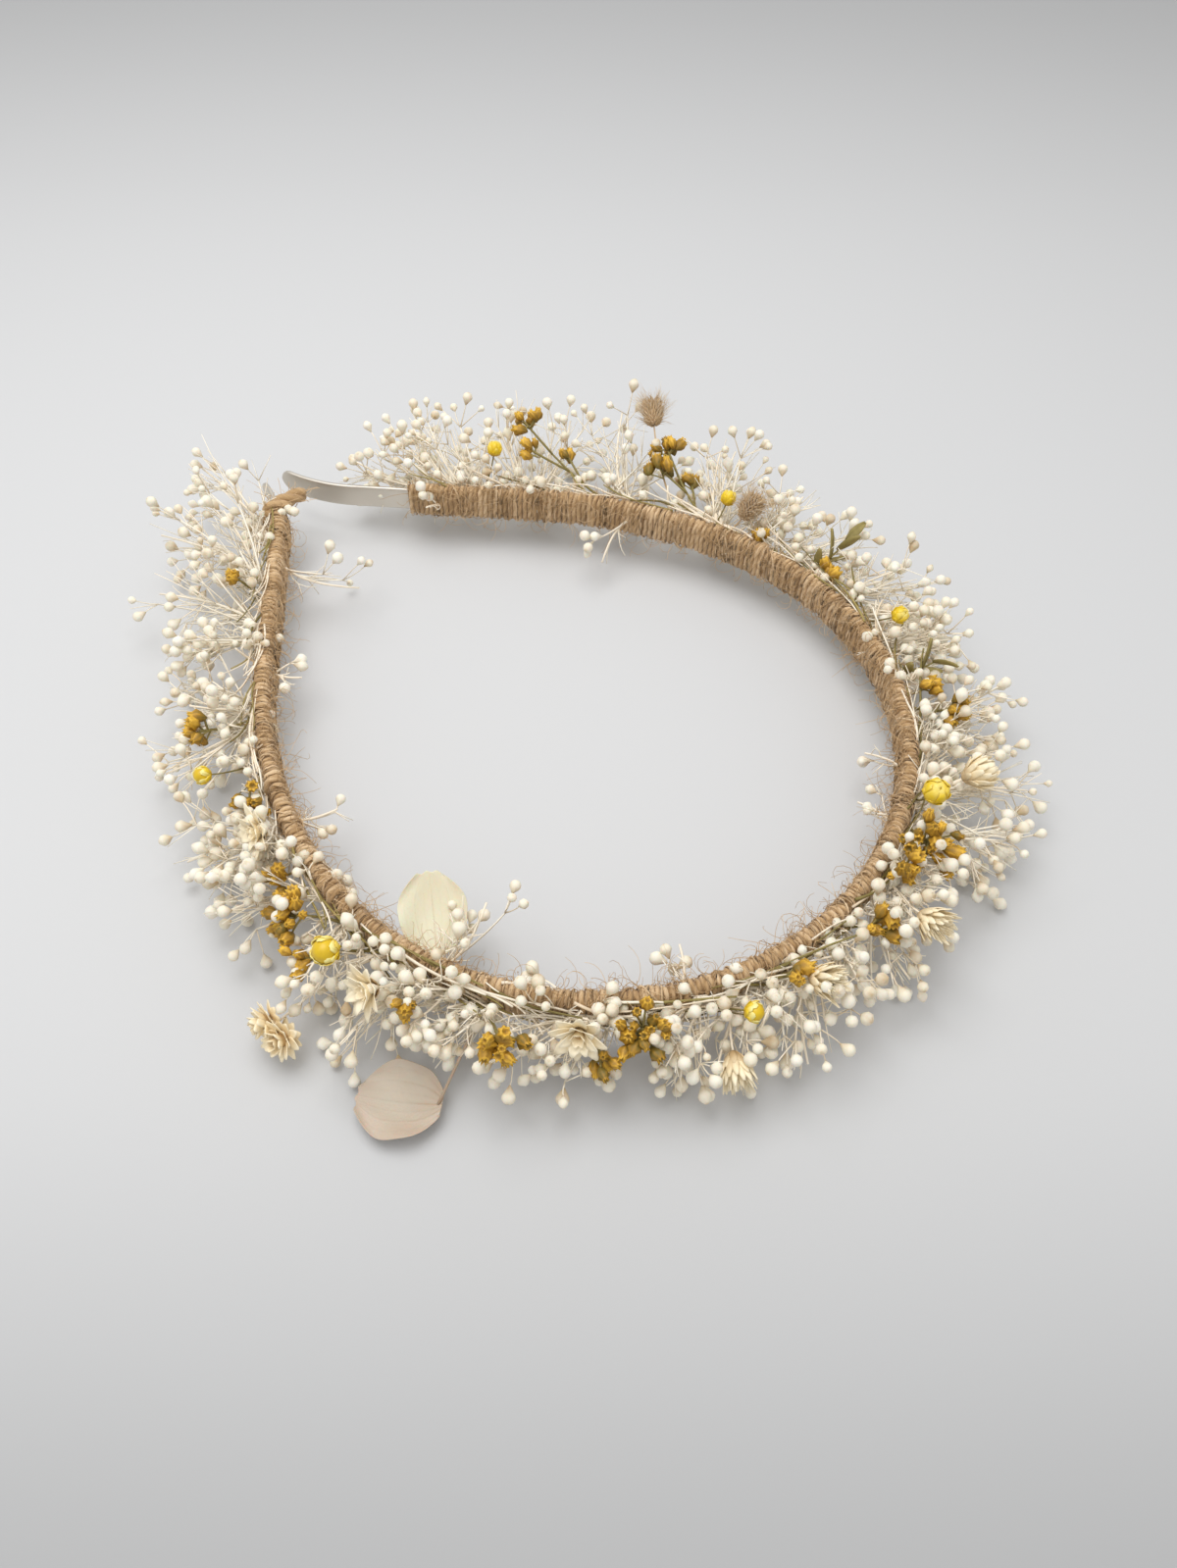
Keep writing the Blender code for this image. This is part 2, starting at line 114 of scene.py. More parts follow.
# The level of the table top, the foot of the imported model's box, taken before anything is made
FLOOR_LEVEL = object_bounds()[0][2]
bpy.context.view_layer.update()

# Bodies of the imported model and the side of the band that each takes
BODY_SIDE = {"crown": 0, "bare_arm": 1, "tied_arm": -1}

# A sprig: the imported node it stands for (or none), its body, its share of the way along
# that body's wrap, its lean from straight outward towards the bare end and its lift, in
# degrees, its reach in millimetres, how many buds or heads it carries, and its style.
Sprig = namedtuple("Sprig", "node body share lean lift reach heads style", defaults=("",))


def sprigs(stem, packed, blocks):
    """Sprigs from blocks of a body and its rows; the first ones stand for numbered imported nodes."""
    made = []
    for body, rows in blocks:
        for row in rows:
            number = len(made) + 1
            made.append(Sprig(f"{stem}_{number:02d}" if number <= packed else "", body, *row))
    return made


GYPSOPHILA = sprigs("gypsophila_spray", 24, (
    # The larger sprays
    ("tied_arm", (
        (0.94, -51, 13, 26, 22), (0.87, -17, 6, 28, 22), (0.77, -15, 2, 26, 24), (0.69, 6, 22, 16, 28),
        (0.62, -23, -10, 20, 26), (0.54, 16, 3, 20, 26), (0.41, -5, -12, 20, 24), (0.32, -3, 6, 17, 26),
        (0.16, -8, -17, 18, 20),
    )),
    ("crown", (
        (-0.86, -30, -19, 12, 24), (-0.59, -20, -8, 13, 18), (-0.26, -22, -17, 18, 20),
        (-0.11, -26, 10, 14, 20), (0.04, -11, -15, 16, 24), (0.45, -4, -10, 21, 20),
        (0.64, 0, 0, 23, 22), (0.84, 8, -12, 17, 24),
    )),
    ("bare_arm", (
        (0.08, -5, 5, 17, 28), (0.19, -20, 14, 20, 34), (0.3, -16, -2, 20, 32), (0.47, 8, 12, 27, 28),
        (0.62, -3, -7, 27, 20), (0.74, -1, 8, 29, 28), (0.9, 17, 4, 26, 26),
    )),
    # Smaller sprays between them
    ("tied_arm", (
        (0.83, -58, 24, 21, 22), (0.58, 0, 26, 14, 20), (0.39, 50, 43, 12, 26), (0.38, -9, -14, 16, 24),
        (0.23, 15, -4, 15, 26), (0.11, -21, 34, 12, 24), (0.07, -15, -18, 12, 22),
    )),
    ("crown", (
        (-0.94, -62, 12, 14, 22), (-0.66, 1, 22, 9, 20), (-0.46, -32, -24, 15, 18),
        (-0.3, -48, 16, 14, 22), (0.16, -25, 16, 14, 28), (0.3, -35, 26, 13, 24), (0.46, 3, -4, 22, 20),
        (0.74, -2, 30, 12, 22), (0.88, 12, 6, 19, 22),
    )),
    ("bare_arm", (
        (0.07, -18, 22, 16, 28), (0.14, -15, -8, 18, 24), (0.37, -8, 26, 18, 30),
        (0.48, 12, 15, 25, 16), (0.65, 5, 14, 31, 16), (0.82, 8, 20, 26, 26), (0.94, 28, 14, 25, 26),
        (0.97, 50, 16, 17, 24), (0.99, 66, 10, 20, 13), (0.95, 165, 30, 5, 3),
    )),
    # Sprays that lean in over the wrap
    ("tied_arm", (
        (0.1, 178, 35, 14, 13, "wide"), (0.39, 178, 10, 8, 4), (0.64, 180, 0, 6, 3),
        (0.82, 175, -5, 18, 6),
    )),
    ("bare_arm", (
        (0.63, 180, -25, 12, 4),
    )),
    ("crown", (
        (0.7, 180, 5, 7, 2), (0.45, 180, 5, 7, 3), (-0.55, 180, 15, 8, 4),
    )),
))

# Short sprays close against the band: body, first and last share, and how many
CLOSE_STRETCHES = (
    ("tied_arm", 0.02, 0.60, 20), ("tied_arm", 0.64, 0.97, 8), ("crown", -0.98, 0.98, 32),
    ("bare_arm", 0.02, 0.42, 12), ("bare_arm", 0.46, 0.98, 12),
)

MUSTARD = sprigs("mustard_sprig", 11, (
    # The larger sprigs
    ("tied_arm", (
        (0.56, 9, 19, 12.5, 6), (0.46, 58, 38, 10.5, 7), (0.26, -22, 30, 10.5, 15),
        (0.06, 34, 31, 14, 10),
    )),
    ("crown", (
        (-0.72, -8, 46, 10, 15), (-0.33, 24, 55, 10, 4), (0.28, -64, 46, 12, 6),
        (0.39, -50, 44, 11.5, 18), (0.9, -30, 35, 12, 7),
    )),
    ("bare_arm", (
        (0.49, 46, 27, 21, 18, "tall"), (0.67, 59, 28, 25, 15, "tall"),
    )),
    # Smaller sprigs between them
    ("tied_arm", (
        (0.79, -2, 55, 10, 4), (0.14, 28, 38, 13, 4), (0.21, -27, 9, 13, 6), (0.33, 20, 42, 9, 5),
    )),
    ("crown", (
        (-0.86, 10, 11, 11, 5), (-0.02, 12, 42, 9, 6), (0.97, -10, 45, 8, 4),
    )),
    ("bare_arm", (
        (0.25, -6, 51, 6, 4), (0.37, 56, 66, 5.5, 5),
    )),
))

YELLOW_BUDS = sprigs("yellow_bud", 7, (
    ("tied_arm", (
        (0.49, 23, 37, 12, 1, "small"), (0.21, 12, 52, 13, 1),
    )),
    ("crown", (
        (-0.54, 41, 36, 10, 1, "small"), (0.5, -60, 67, 11, 1, "closed"),
    )),
    ("bare_arm", (
        (0.14, -64, 50, 10, 1, "closed small"), (0.455, -12, 60, 8, 1, "closed small"),
        (0.86, -14, 55, 10, 1, "closed small"),
    )),
))

STRAWFLOWERS = sprigs("strawflower", 6, (
    ("tied_arm", (
        (0.39, 37, 54, 10, 1, "daisy"), (0.22, -1, -10, 20, 2, "double"),
        (0.14, -20, 34, 11, 1, "daisy"),
    )),
    ("crown", (
        (-0.48, -11, -10, 11, 1, "brush"), (0.17, -30, 30, 14, 1, "brush"),
        (0.55, 14, 36, 13, 1, "bud"),
    )),
    ("crown", (
        (-0.28, 18, 40, 9, 1, "brush"), (-0.88, -9, 40, 8, 1, "daisy"),
    )),
))

GRASS_HEADS = [
    Sprig("bunny_grass_head", "bare_arm", 0.55, 27, 34, 22, 1),
    Sprig("", "bare_arm", 0.43, -40, 58, 8, 1),
]

LEAF_SPRIGS = [
    Sprig("olive_leaf_sprig", "bare_arm", 0.26, -5, 45, 11, 5),
    Sprig("", "bare_arm", 0.02, -10, 45, 8, 4),
]

PETALS = [
    Sprig("hydrangea_petal_outer", "tied_arm", 0.06, -9, -25, 16, 1, "outer"),
    Sprig("hydrangea_petal_inner", "tied_arm", 0.13, 215, 24, 1, 1, "inner"),
]


def box_size(node):
    """Width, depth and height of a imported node's box."""
    low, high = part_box(node)
    return Vector(high) - Vector(low)


def metres(name, description, default):
    """A length property."""
    return FloatProperty(name=name, description=description, default=default, unit="LENGTH", precision=5)


def paint(name, description, default):
    """A colour property."""
    return FloatVectorProperty(
        name=name, description=description, default=default, subtype="COLOR", min=0.0, max=1.0
    )


class BandSizes(bpy.types.PropertyGroup):
    """Sizes of the strip's course and of the wound band"""
    crown_radius: metres("Crown radius", "Radius of the strip's centreline at the crown", 0.054)
    crown_angle: FloatProperty(
        name="Crown angle", description="Turn of each half of the crown's arc",
        default=math.radians(100.0), subtype="ANGLE",
    )
    side_radius: metres("Side radius", "Radius of the strip's centreline along each side", 0.086)
    side_angle: FloatProperty(
        name="Side angle", description="Turn of each side's arc",
        default=math.radians(30.0), subtype="ANGLE",
    )
    straight_run: metres("Straight run", "Length of each straight stretch", 0.039)
    flare_radius: metres("Flare radius", "Radius of the outward bend at each tip", 0.031)
    flare_run: metres("Flare run", "Length of the outward bend at each tip", 0.0167)
    strip_width: metres("Strip width", "Width of the steel strip", box_size("steel_band_crown").z)
    strip_thickness: metres("Strip thickness", "Thickness of the steel strip", 0.0009)
    wrap_width: metres("Wrap width", "Overall width of the wound band", box_size("jute_wrap_crown").z)
    wrap_thickness: metres("Wrap thickness", "Overall thickness of the wound band", 0.0033)
    bare_end: metres("Bare end", "Length of steel left bare at the open end", 0.028)
    tied_tip: metres("Tied tip", "Length of steel that shows past the knotted end", 0.005)
    blend_reach: metres("Bend reach", "Length of band on each side of a hinge that bends", 0.012)


class TwineSizes(bpy.types.PropertyGroup):
    """Sizes of the twine, its winding and its loose fibres"""
    radius: metres("Twine radius", "Radius of the two-ply twine", 0.00052)
    pitch: metres("Winding pitch", "Distance from one turn to the next", 0.00102)
    twist: metres("Twist length", "Length of one full twist of the two plies", 0.0026)
    fuzz_length: metres("Fuzz length", "Longest loose fibre", 0.0085)
    fuzz_radius: metres("Fuzz radius", "Radius of a loose fibre", 0.000058)
    fuzz_count: IntProperty(name="Fuzz count", description="Loose fibres on each half", default=2100)


class FlowerSizes(bpy.types.PropertyGroup):
    """Sizes that all sprigs of a kind share"""
    stem_radius: metres("Stem radius", "Radius of a main stem", 0.00030)
    twig_radius: metres("Twig radius", "Radius of the finest twigs", 0.000125)
    bud_radius: metres("Bud radius", "Radius of a gypsophila bud", 0.00104)
    spray_spread: metres("Spray spread", "Half width of a gypsophila spray", 0.0066)
    floret_radius: metres("Floret radius", "Radius of a mustard floret head", 0.00108)
    yellow_radius: metres("Yellow bud radius", "Radius of a yellow bud", 0.0021)
    bract_length: metres("Bract length", "Length of a strawflower's bracts", 0.0052)
    petal_length: metres("Petal length", "Length of a hydrangea petal", 0.0130)
    petal_width: metres("Petal width", "Width of a hydrangea petal", 0.0125)
    seed: IntProperty(name="Seed", description="Seed of the natural variation", default=7)


class Colours(bpy.types.PropertyGroup):
    """Colours of every piece and of the floor"""
    steel: paint("Steel", "Colour of the bare strip", (0.76, 0.71, 0.63))
    # Darker fibres, and painted shade deep between the turns and plies
    jute_dark_and_shade: paint("Jute shade", "Colour deep between the turns", (0.23, 0.125, 0.05))
    jute: paint("Jute", "Main colour of the twine", (0.545, 0.350, 0.168))
    # Paler fibres, and painted highlight on the crowns of the plies and on the twine's outer side
    jute_pale_and_highlight: paint("Jute light", "Colour of the raised fibres", (0.82, 0.605, 0.37))
    # A bud's brownish foot, and painted shade in its creases
    bud_foot_and_shade: paint("Bud shade", "Colour in a bud's creases", (0.60, 0.46, 0.28))
    bud: paint("Bud", "Main colour of the buds", (0.87, 0.80, 0.645))
    bud_light: paint("Bud light", "Colour of the palest buds", (0.93, 0.89, 0.78))
    twig: paint("Twig", "Colour of the pale stems", (0.97, 0.86, 0.69))
    # A floret head's foot, and painted shade inside its mouth and between its ribs
    mustard_foot_and_shade: paint("Mustard base", "Colour at the foot of a floret head", (0.17, 0.125, 0.02))
    mustard: paint("Mustard", "Main colour of the floret heads", (0.42, 0.22, 0.017))
    mustard_tip: paint("Mustard tip", "Colour of the floret rims", (0.90, 0.54, 0.055))
    olive: paint("Olive", "Colour of the green stems", (0.25, 0.20, 0.06))
    yellow: paint("Yellow", "Main colour of the yellow bracts", (0.86, 0.60, 0.012))
    yellow_tip: paint("Yellow tip", "Colour of the bract tips", (0.96, 0.88, 0.36))
    cream: paint("Cream", "Main colour of the strawflowers", (0.95, 0.80, 0.53))
    cream_base: paint("Cream base", "Colour at the foot of the bracts", (0.46, 0.28, 0.11))
    petal: paint("Petal", "Main colour of the outer hydrangea petal", (0.53, 0.44, 0.345))
    petal_pale: paint("Pale petal", "Main colour of the inner hydrangea petal", (0.73, 0.665, 0.49))
    petal_vein: paint("Petal vein", "Colour of the petals' veins", (0.40, 0.29, 0.16))
    grass: paint("Grass", "Colour of the soft grass heads", (0.60, 0.42, 0.24))
    floor: paint("Floor", "Colour of the floor", (0.625, 0.628, 0.634))


# ---------------------------------------------------------------- shapes in numbers


class Shape:
    """Points, faces, tones and finishes of one piece, gathered before it becomes a mesh."""

    def __init__(self):
        self.points, self.tones, self.strands = [], [], []
        self.loops, self.sizes, self.finishes = [], [], []
        self.total = 0

    def add(self, points, faces, tone=0.5, finish=0, strand=None):
        """Adds points with their faces, tones, finish and strand coordinates."""
        points = np.asarray(points, float).reshape(-1, 3)
        self.points.append(points)
        self.tones.append(np.broadcast_to(np.asarray(tone, float), (len(points),)))
        self.strands.append(points if strand is None else np.asarray(strand, float).reshape(-1, 3))
        self.add_faces(np.asarray(faces, int) + self.total, finish)
        self.total += len(points)

    def add_faces(self, faces, finish):
        """Adds faces over points that are already in, all of one finish."""
        self.loops.append(faces.ravel())
        self.sizes.append(np.full(len(faces), faces.shape[1]))
        self.finishes.append(np.full(len(faces), finish))

    def add_rings(self, rings, tone=0.5, finish=0, strand=None):
        """Rows of rings of points, closed round and capped at both ends."""
        rows, sides = rings.shape[:2]
        start = self.total
        self.add(rings, ring_faces(rows, sides), tone, finish, strand)
        caps = np.array([np.arange(sides)[::-1], np.arange(sides) + (rows - 1) * sides])
        self.add_faces(caps + start, finish)

    def to_object(self, name, finishes):
        """The piece as a Blender object with its materials, in the scene."""
        mesh = bpy.data.meshes.new(name)
        points = np.concatenate(self.points)
        loops = np.concatenate(self.loops)
        sizes = np.concatenate(self.sizes)
        mesh.vertices.add(len(points))
        mesh.vertices.foreach_set("co", points.astype(np.float32).ravel())
        mesh.loops.add(len(loops))
        mesh.loops.foreach_set("vertex_index", loops.astype(np.int32))
        mesh.polygons.add(len(sizes))
        starts = np.concatenate(([0], np.cumsum(sizes)[:-1]))
        mesh.polygons.foreach_set("loop_start", starts.astype(np.int32))
        mesh.polygons.foreach_set("loop_total", sizes.astype(np.int32))
        mesh.polygons.foreach_set("material_index", np.concatenate(self.finishes).astype(np.int32))
        tone = mesh.attributes.new("tone", "FLOAT", "POINT")
        tone.data.foreach_set("value", np.concatenate(self.tones).astype(np.float32))
        strand = mesh.attributes.new("strand", "FLOAT_VECTOR", "POINT")
        strand.data.foreach_set("vector", np.concatenate(self.strands).astype(np.float32).ravel())
        for finish in finishes:
            mesh.materials.append(finish)
        mesh.update(calc_edges=True)
        mesh.validate()
        mesh.shade_smooth()
        piece = bpy.data.objects.new(name, mesh)
        bpy.context.scene.collection.objects.link(piece)
        return piece


def unit(vectors):
    """Vectors scaled to length one."""
    vectors = np.asarray(vectors, float)
    return vectors / np.maximum(np.linalg.norm(vectors, axis=-1, keepdims=True), 1e-12)


def across(direction):
    """Two unit vectors square to a direction and to each other."""
    direction = unit(direction)
    helper = np.eye(3)[np.argmin(np.abs(direction))]
    first = unit(np.cross(direction, helper))
    return first, np.cross(direction, first)


def spoke(first, second, angle):
    """The direction at an angle round, between two unit vectors."""
    return first * math.cos(angle) + second * math.sin(angle)


def ring_faces(rows, sides):
    """Quads between rows of rings, each ring closed on itself."""
    index = np.arange(rows * sides).reshape(rows, sides)
    after = np.roll(index, -1, axis=1)
    return np.stack([index[:-1], after[:-1], after[1:], index[1:]], axis=-1).reshape(-1, 4)


def path_frames(path):
    """At each point of a path, its heading and two unit vectors square to it."""
    heading = unit(np.gradient(path, axis=0))
    first, _ = across(path[-1] - path[0])
    normal = unit(first - heading * (heading @ first)[:, None])
    return heading, normal, np.cross(heading, normal)


def tube_rings(path, radii, sides, spin=0.0):
    """Rings of points round a path, turned by the spin at each point."""
    path = np.asarray(path, float)
    radii = np.broadcast_to(np.asarray(radii, float), (len(path),))
    _, normal, other = path_frames(path)
    angles = np.arange(sides)[None, :] * math.tau / sides + np.broadcast_to(spin, (len(path),))[:, None]
    ring = normal[:, None] * np.cos(angles)[..., None] + other[:, None] * np.sin(angles)[..., None]
    return path[:, None] + ring * radii[:, None, None]


def run_length(path):
    """Distance along a path from its start to each of its points."""
    return np.concatenate(([0.0], np.cumsum(np.linalg.norm(np.diff(path, axis=0), axis=1))))


def tube(shape, path, radii, sides=STEM_SIDES, tone=0.5, finish=0):
    """A closed round tube along a path, with a radius at each point."""
    tones = np.repeat(np.broadcast_to(np.asarray(tone, float), (len(path),)), sides)
    shape.add_rings(tube_rings(path, radii, sides), tones, finish)


def yarn(shape, path, radii, sides, twist, tone):
    """A twisted tube whose strand coordinates run along its fibres."""
    run = run_length(path)
    rings = tube_rings(path, radii, sides, math.tau * run / twist)
    angles = np.arange(sides) * math.tau / sides
    width = float(np.mean(radii))
    strand = np.stack([
        np.repeat(run[:, None], sides, axis=1),
        np.broadcast_to(width * np.cos(angles), (len(run), sides)),
        np.broadcast_to(width * np.sin(angles), (len(run), sides)),
    ], axis=-1)
    tones = np.repeat(np.broadcast_to(np.asarray(tone, float), (len(path),)), sides)
    shape.add_rings(rings, tones, strand=strand)


def curve_points(start, middle, end, count):
    """Points along a quadratic curve pulled towards its middle point."""
    t = np.linspace(0.0, 1.0, count)[:, None]
    start, middle, end = (np.asarray(p, float) for p in (start, middle, end))
    return (1 - t) ** 2 * start + 2 * t * (1 - t) * middle + t ** 2 * end


def thin_sheet(shape, grid, thickness, tone):
    """A closed thin sheet over a grid of points, for petals, bracts and leaves."""
    rows, columns = grid.shape[:2]
    along = np.gradient(grid, axis=0)
    wide = np.gradient(grid, axis=1)
    normal = unit(np.cross(along, wide))
    points = np.concatenate([grid + normal * thickness / 2, grid - normal * thickness / 2])
    index = np.arange(rows * columns).reshape(rows, columns)
    corners = (index[:-1, :-1], index[1:, :-1], index[1:, 1:], index[:-1, 1:])
    quads = np.stack(corners, axis=-1).reshape(-1, 4)
    rim = np.concatenate([index[0, :], index[1:, -1], index[-1, -2::-1], index[-2:0:-1, 0]])
    after = np.roll(rim, -1)
    under = rows * columns
    edge = np.stack([rim, after, after + under, rim + under], axis=-1)
    faces = np.concatenate([quads, quads[:, ::-1] + under, edge])
    tones = np.broadcast_to(np.asarray(tone, float), (rows, columns)).ravel()
    shape.add(points, faces, np.concatenate([tones, tones]))


def ball_template(detail):
    """Points and triangles of a round ball of radius 1."""
    bm = bmesh.new()
    bmesh.ops.create_icosphere(bm, subdivisions=detail, radius=1.0)
    points = np.array([v.co for v in bm.verts])
    faces = np.array([[v.index for v in f.verts] for f in bm.faces])
    bm.free()
    return points, faces


def set_along(template, centre, axis, turn, size):
    """A template whose +Z is turned onto an axis and moved to a centre."""
    first, second = across(axis)
    spun = np.cos(turn) * first + np.sin(turn) * second
    basis = np.stack([spun, np.cross(unit(axis), spun), unit(axis)])
    return template * size @ basis + centre


# ---------------------------------------------------------------- the band's course


class Band:
    """The steel strip's centreline, as places and directions at signed distances."""

    STEP = 0.00025  # spacing of the centreline's points
    PAST_TIP = 0.02  # how far the centreline is carried on past the strip's tips
    SETTLE_MARGIN = 0.004  # a piece this near the bending stretch is left in place with no body

    def __init__(self, sizes):
        self.sizes = sizes
        arcs = (
            (1.0 / sizes.crown_radius, sizes.crown_radius * sizes.crown_angle),
            (1.0 / sizes.side_radius, sizes.side_radius * sizes.side_angle),
            (0.0, sizes.straight_run),
            (-1.0 / sizes.flare_radius, sizes.flare_run),
        )
        self.half = sum(run for _, run in arcs)
        ends = np.cumsum([run for _, run in arcs])
        self.distance = np.arange(0.0, self.half + self.PAST_TIP, self.STEP)
        middle = self.distance[:-1] + self.STEP / 2
        bend = np.array([curve for curve, _ in arcs])[np.minimum(np.searchsorted(ends, middle), 3)]
        self.heading = np.concatenate(([0.0], np.cumsum(bend * self.STEP)))
        mean = (self.heading[1:] + self.heading[:-1]) / 2
        self.x = np.concatenate(([0.0], np.cumsum(np.cos(mean) * self.STEP)))
        self.y = np.concatenate(([0.0], np.cumsum(np.sin(mean) * self.STEP)))
        self.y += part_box("steel_band_crown")[0][1] + sizes.strip_thickness / 2
        self.wrap_end = {1: self.half - sizes.bare_end, -1: self.half - sizes.tied_tip}
        self.hinge = self.nearest(joint_between("crown", "bare_arm")["pos_m"])

    def nearest(self, place):
        """Distance along the strip of the centreline's point nearest a place."""
        gap = np.hypot(self.x - abs(place[0]), self.y - place[1])
        return self.distance[np.argmin(gap)]

    def frames(self, along):
        """Centres, forward and outward unit vectors at an array of signed distances."""
        along = np.atleast_1d(np.asarray(along, float))
        side = np.where(along < 0, -1.0, 1.0)
        reach = np.abs(along)
        x, y, heading = (np.interp(reach, self.distance, v) for v in (self.x, self.y, self.heading))
        zero = np.zeros_like(x)
        centre = np.stack([side * x, y, zero], -1)
        forward = np.stack([np.cos(heading), side * np.sin(heading), zero], -1)
        outward = np.stack([side * np.sin(heading), -np.cos(heading), zero], -1)
        return centre, forward, outward

    def places(self, along, out, up):
        """Points at signed distances along the strip, moved outward and up from its centreline."""
        centre, _, outward = self.frames(along)
        rise = np.zeros_like(centre)
        rise[:, 2] = up
        return centre + outward * np.broadcast_to(out, (len(centre),))[:, None] + rise

    def distance_of(self, sprig):
        """Signed distance along the strip at which a sprig stands."""
        side = BODY_SIDE[sprig.body]
        if side == 0:
            return sprig.share * self.hinge
        return side * (self.hinge + sprig.share * (self.wrap_end[side] - self.hinge))

    def seat(self, sprig):
        """Foot, direction of growth, the band's forward direction and the sprig's reach."""
        centre, forward, outward = (v[0] for v in self.frames(self.distance_of(sprig)))
        lean, lift = math.radians(sprig.lean), math.radians(sprig.lift)
        level = outward * math.cos(lean) + forward * math.sin(lean)
        growth = level * math.cos(lift) + np.array([0.0, 0.0, math.sin(lift)])
        surface = 0.5 * self.sizes.wrap_thickness * (1.0 if abs(sprig.lean) < 90 else -1.0)
        return centre + outward * surface, growth, forward, sprig.reach / 1000.0

    def settle(self, piece, places):
        """Lets a piece ride on its body, or leaves it in place with no body where it is near a hinge."""
        side = 1 if places[0] > 0 else -1
        arm = "bare_arm" if side > 0 else "tied_arm"
        reach = self.sizes.blend_reach + self.SETTLE_MARGIN
        if any(abs(abs(along) - self.hinge) < reach for along in places):
            start, end = self.bend_ends(side)
            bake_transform(piece)
        else:
            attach(piece, "crown" if abs(places[0]) < self.hinge else arm)

    def bend_ends(self, side):
        """Where the bending stretch round one hinge starts and ends."""
        reach = self.sizes.blend_reach
        ends = self.places(side * np.array([self.hinge - reach, self.hinge + reach]), 0.0, 0.0)
        return tuple(ends[0]), tuple(ends[1])


def joint_between(parent, child):
    """The frame's joint between two bodies."""
    for joint in frame["joints"]:
        if joint["parent"] == parent and joint["child"] == child:
            return joint
    raise RuntimeError(f"the frame has no joint from {parent} to {child}")


# ---------------------------------------------------------------- finishes


def node(tree, kind, **inputs):
    """A new node with values on its named inputs."""
    made = tree.nodes.new(kind)
    for name, value in inputs.items():
        made.inputs[name].default_value = value
    return made


def tone_group():
    """Node group: three colours mixed by a tone with mottling, and a fine height."""
    name = "dry_tone"
    if name in bpy.data.node_groups:
        return bpy.data.node_groups[name]
    tree = bpy.data.node_groups.new(name, "ShaderNodeTree")
    sockets = (
        ("Vector", "NodeSocketVector", (0.0, 0.0, 0.0)), ("Tone", "NodeSocketFloat", 0.5),
        ("Shade", "NodeSocketColor", (0, 0, 0, 1)), ("Main", "NodeSocketColor", (0.5, 0.5, 0.5, 1)),
        ("Light", "NodeSocketColor", (1, 1, 1, 1)), ("Mottle Amount", "NodeSocketFloat", 0.3),
        ("Mottle Scale", "NodeSocketVector", (900.0, 900.0, 900.0)),
        ("Grain Scale", "NodeSocketVector", (4000.0, 4000.0, 4000.0)),
    )
    for label, kind, value in sockets:
        socket = tree.interface.new_socket(name=label, in_out="INPUT", socket_type=kind)
        socket.default_value = value
    tree.interface.new_socket(name="Color", in_out="OUTPUT", socket_type="NodeSocketColor")
    tree.interface.new_socket(name="Height", in_out="OUTPUT", socket_type="NodeSocketFloat")
    entry, leave = tree.nodes.new("NodeGroupInput"), tree.nodes.new("NodeGroupOutput")
    links = tree.links
    noises = []
    for label, detail in (("Mottle Scale", 3.0), ("Grain Scale", 2.0)):
        stretch = tree.nodes.new("ShaderNodeVectorMath")
        stretch.operation = "MULTIPLY"
        links.new(entry.outputs["Vector"], stretch.inputs[0])
        links.new(entry.outputs[label], stretch.inputs[1])
        noise = node(tree, "ShaderNodeTexNoise", Scale=1.0, Detail=detail, Roughness=0.55)
        links.new(stretch.outputs["Vector"], noise.inputs["Vector"])
        noises.append(noise.outputs["Fac"])
    centred = tree.nodes.new("ShaderNodeMath")
    centred.operation = "SUBTRACT"
    centred.inputs[1].default_value = 0.5
    links.new(noises[0], centred.inputs[0])
    spread = tree.nodes.new("ShaderNodeMath")
    spread.operation = "MULTIPLY_ADD"
    links.new(centred.outputs[0], spread.inputs[0])
    links.new(entry.outputs["Mottle Amount"], spread.inputs[1])
    links.new(entry.outputs["Tone"], spread.inputs[2])
    colour = entry.outputs["Shade"]
    for low, high, target in ((0.0, 0.5, "Main"), (0.5, 1.0, "Light")):
        part = node(tree, "ShaderNodeMapRange", **{"From Min": low, "From Max": high})
        part.clamp = True
        links.new(spread.outputs[0], part.inputs["Value"])
        mix = tree.nodes.new("ShaderNodeMix")
        mix.data_type = "RGBA"
        links.new(part.outputs["Result"], mix.inputs["Factor"])
        links.new(colour, mix.inputs["A"])
        links.new(entry.outputs[target], mix.inputs["B"])
        colour = mix.outputs["Result"]
    links.new(colour, leave.inputs["Color"])
    links.new(noises[1], leave.inputs["Height"])
    return tree


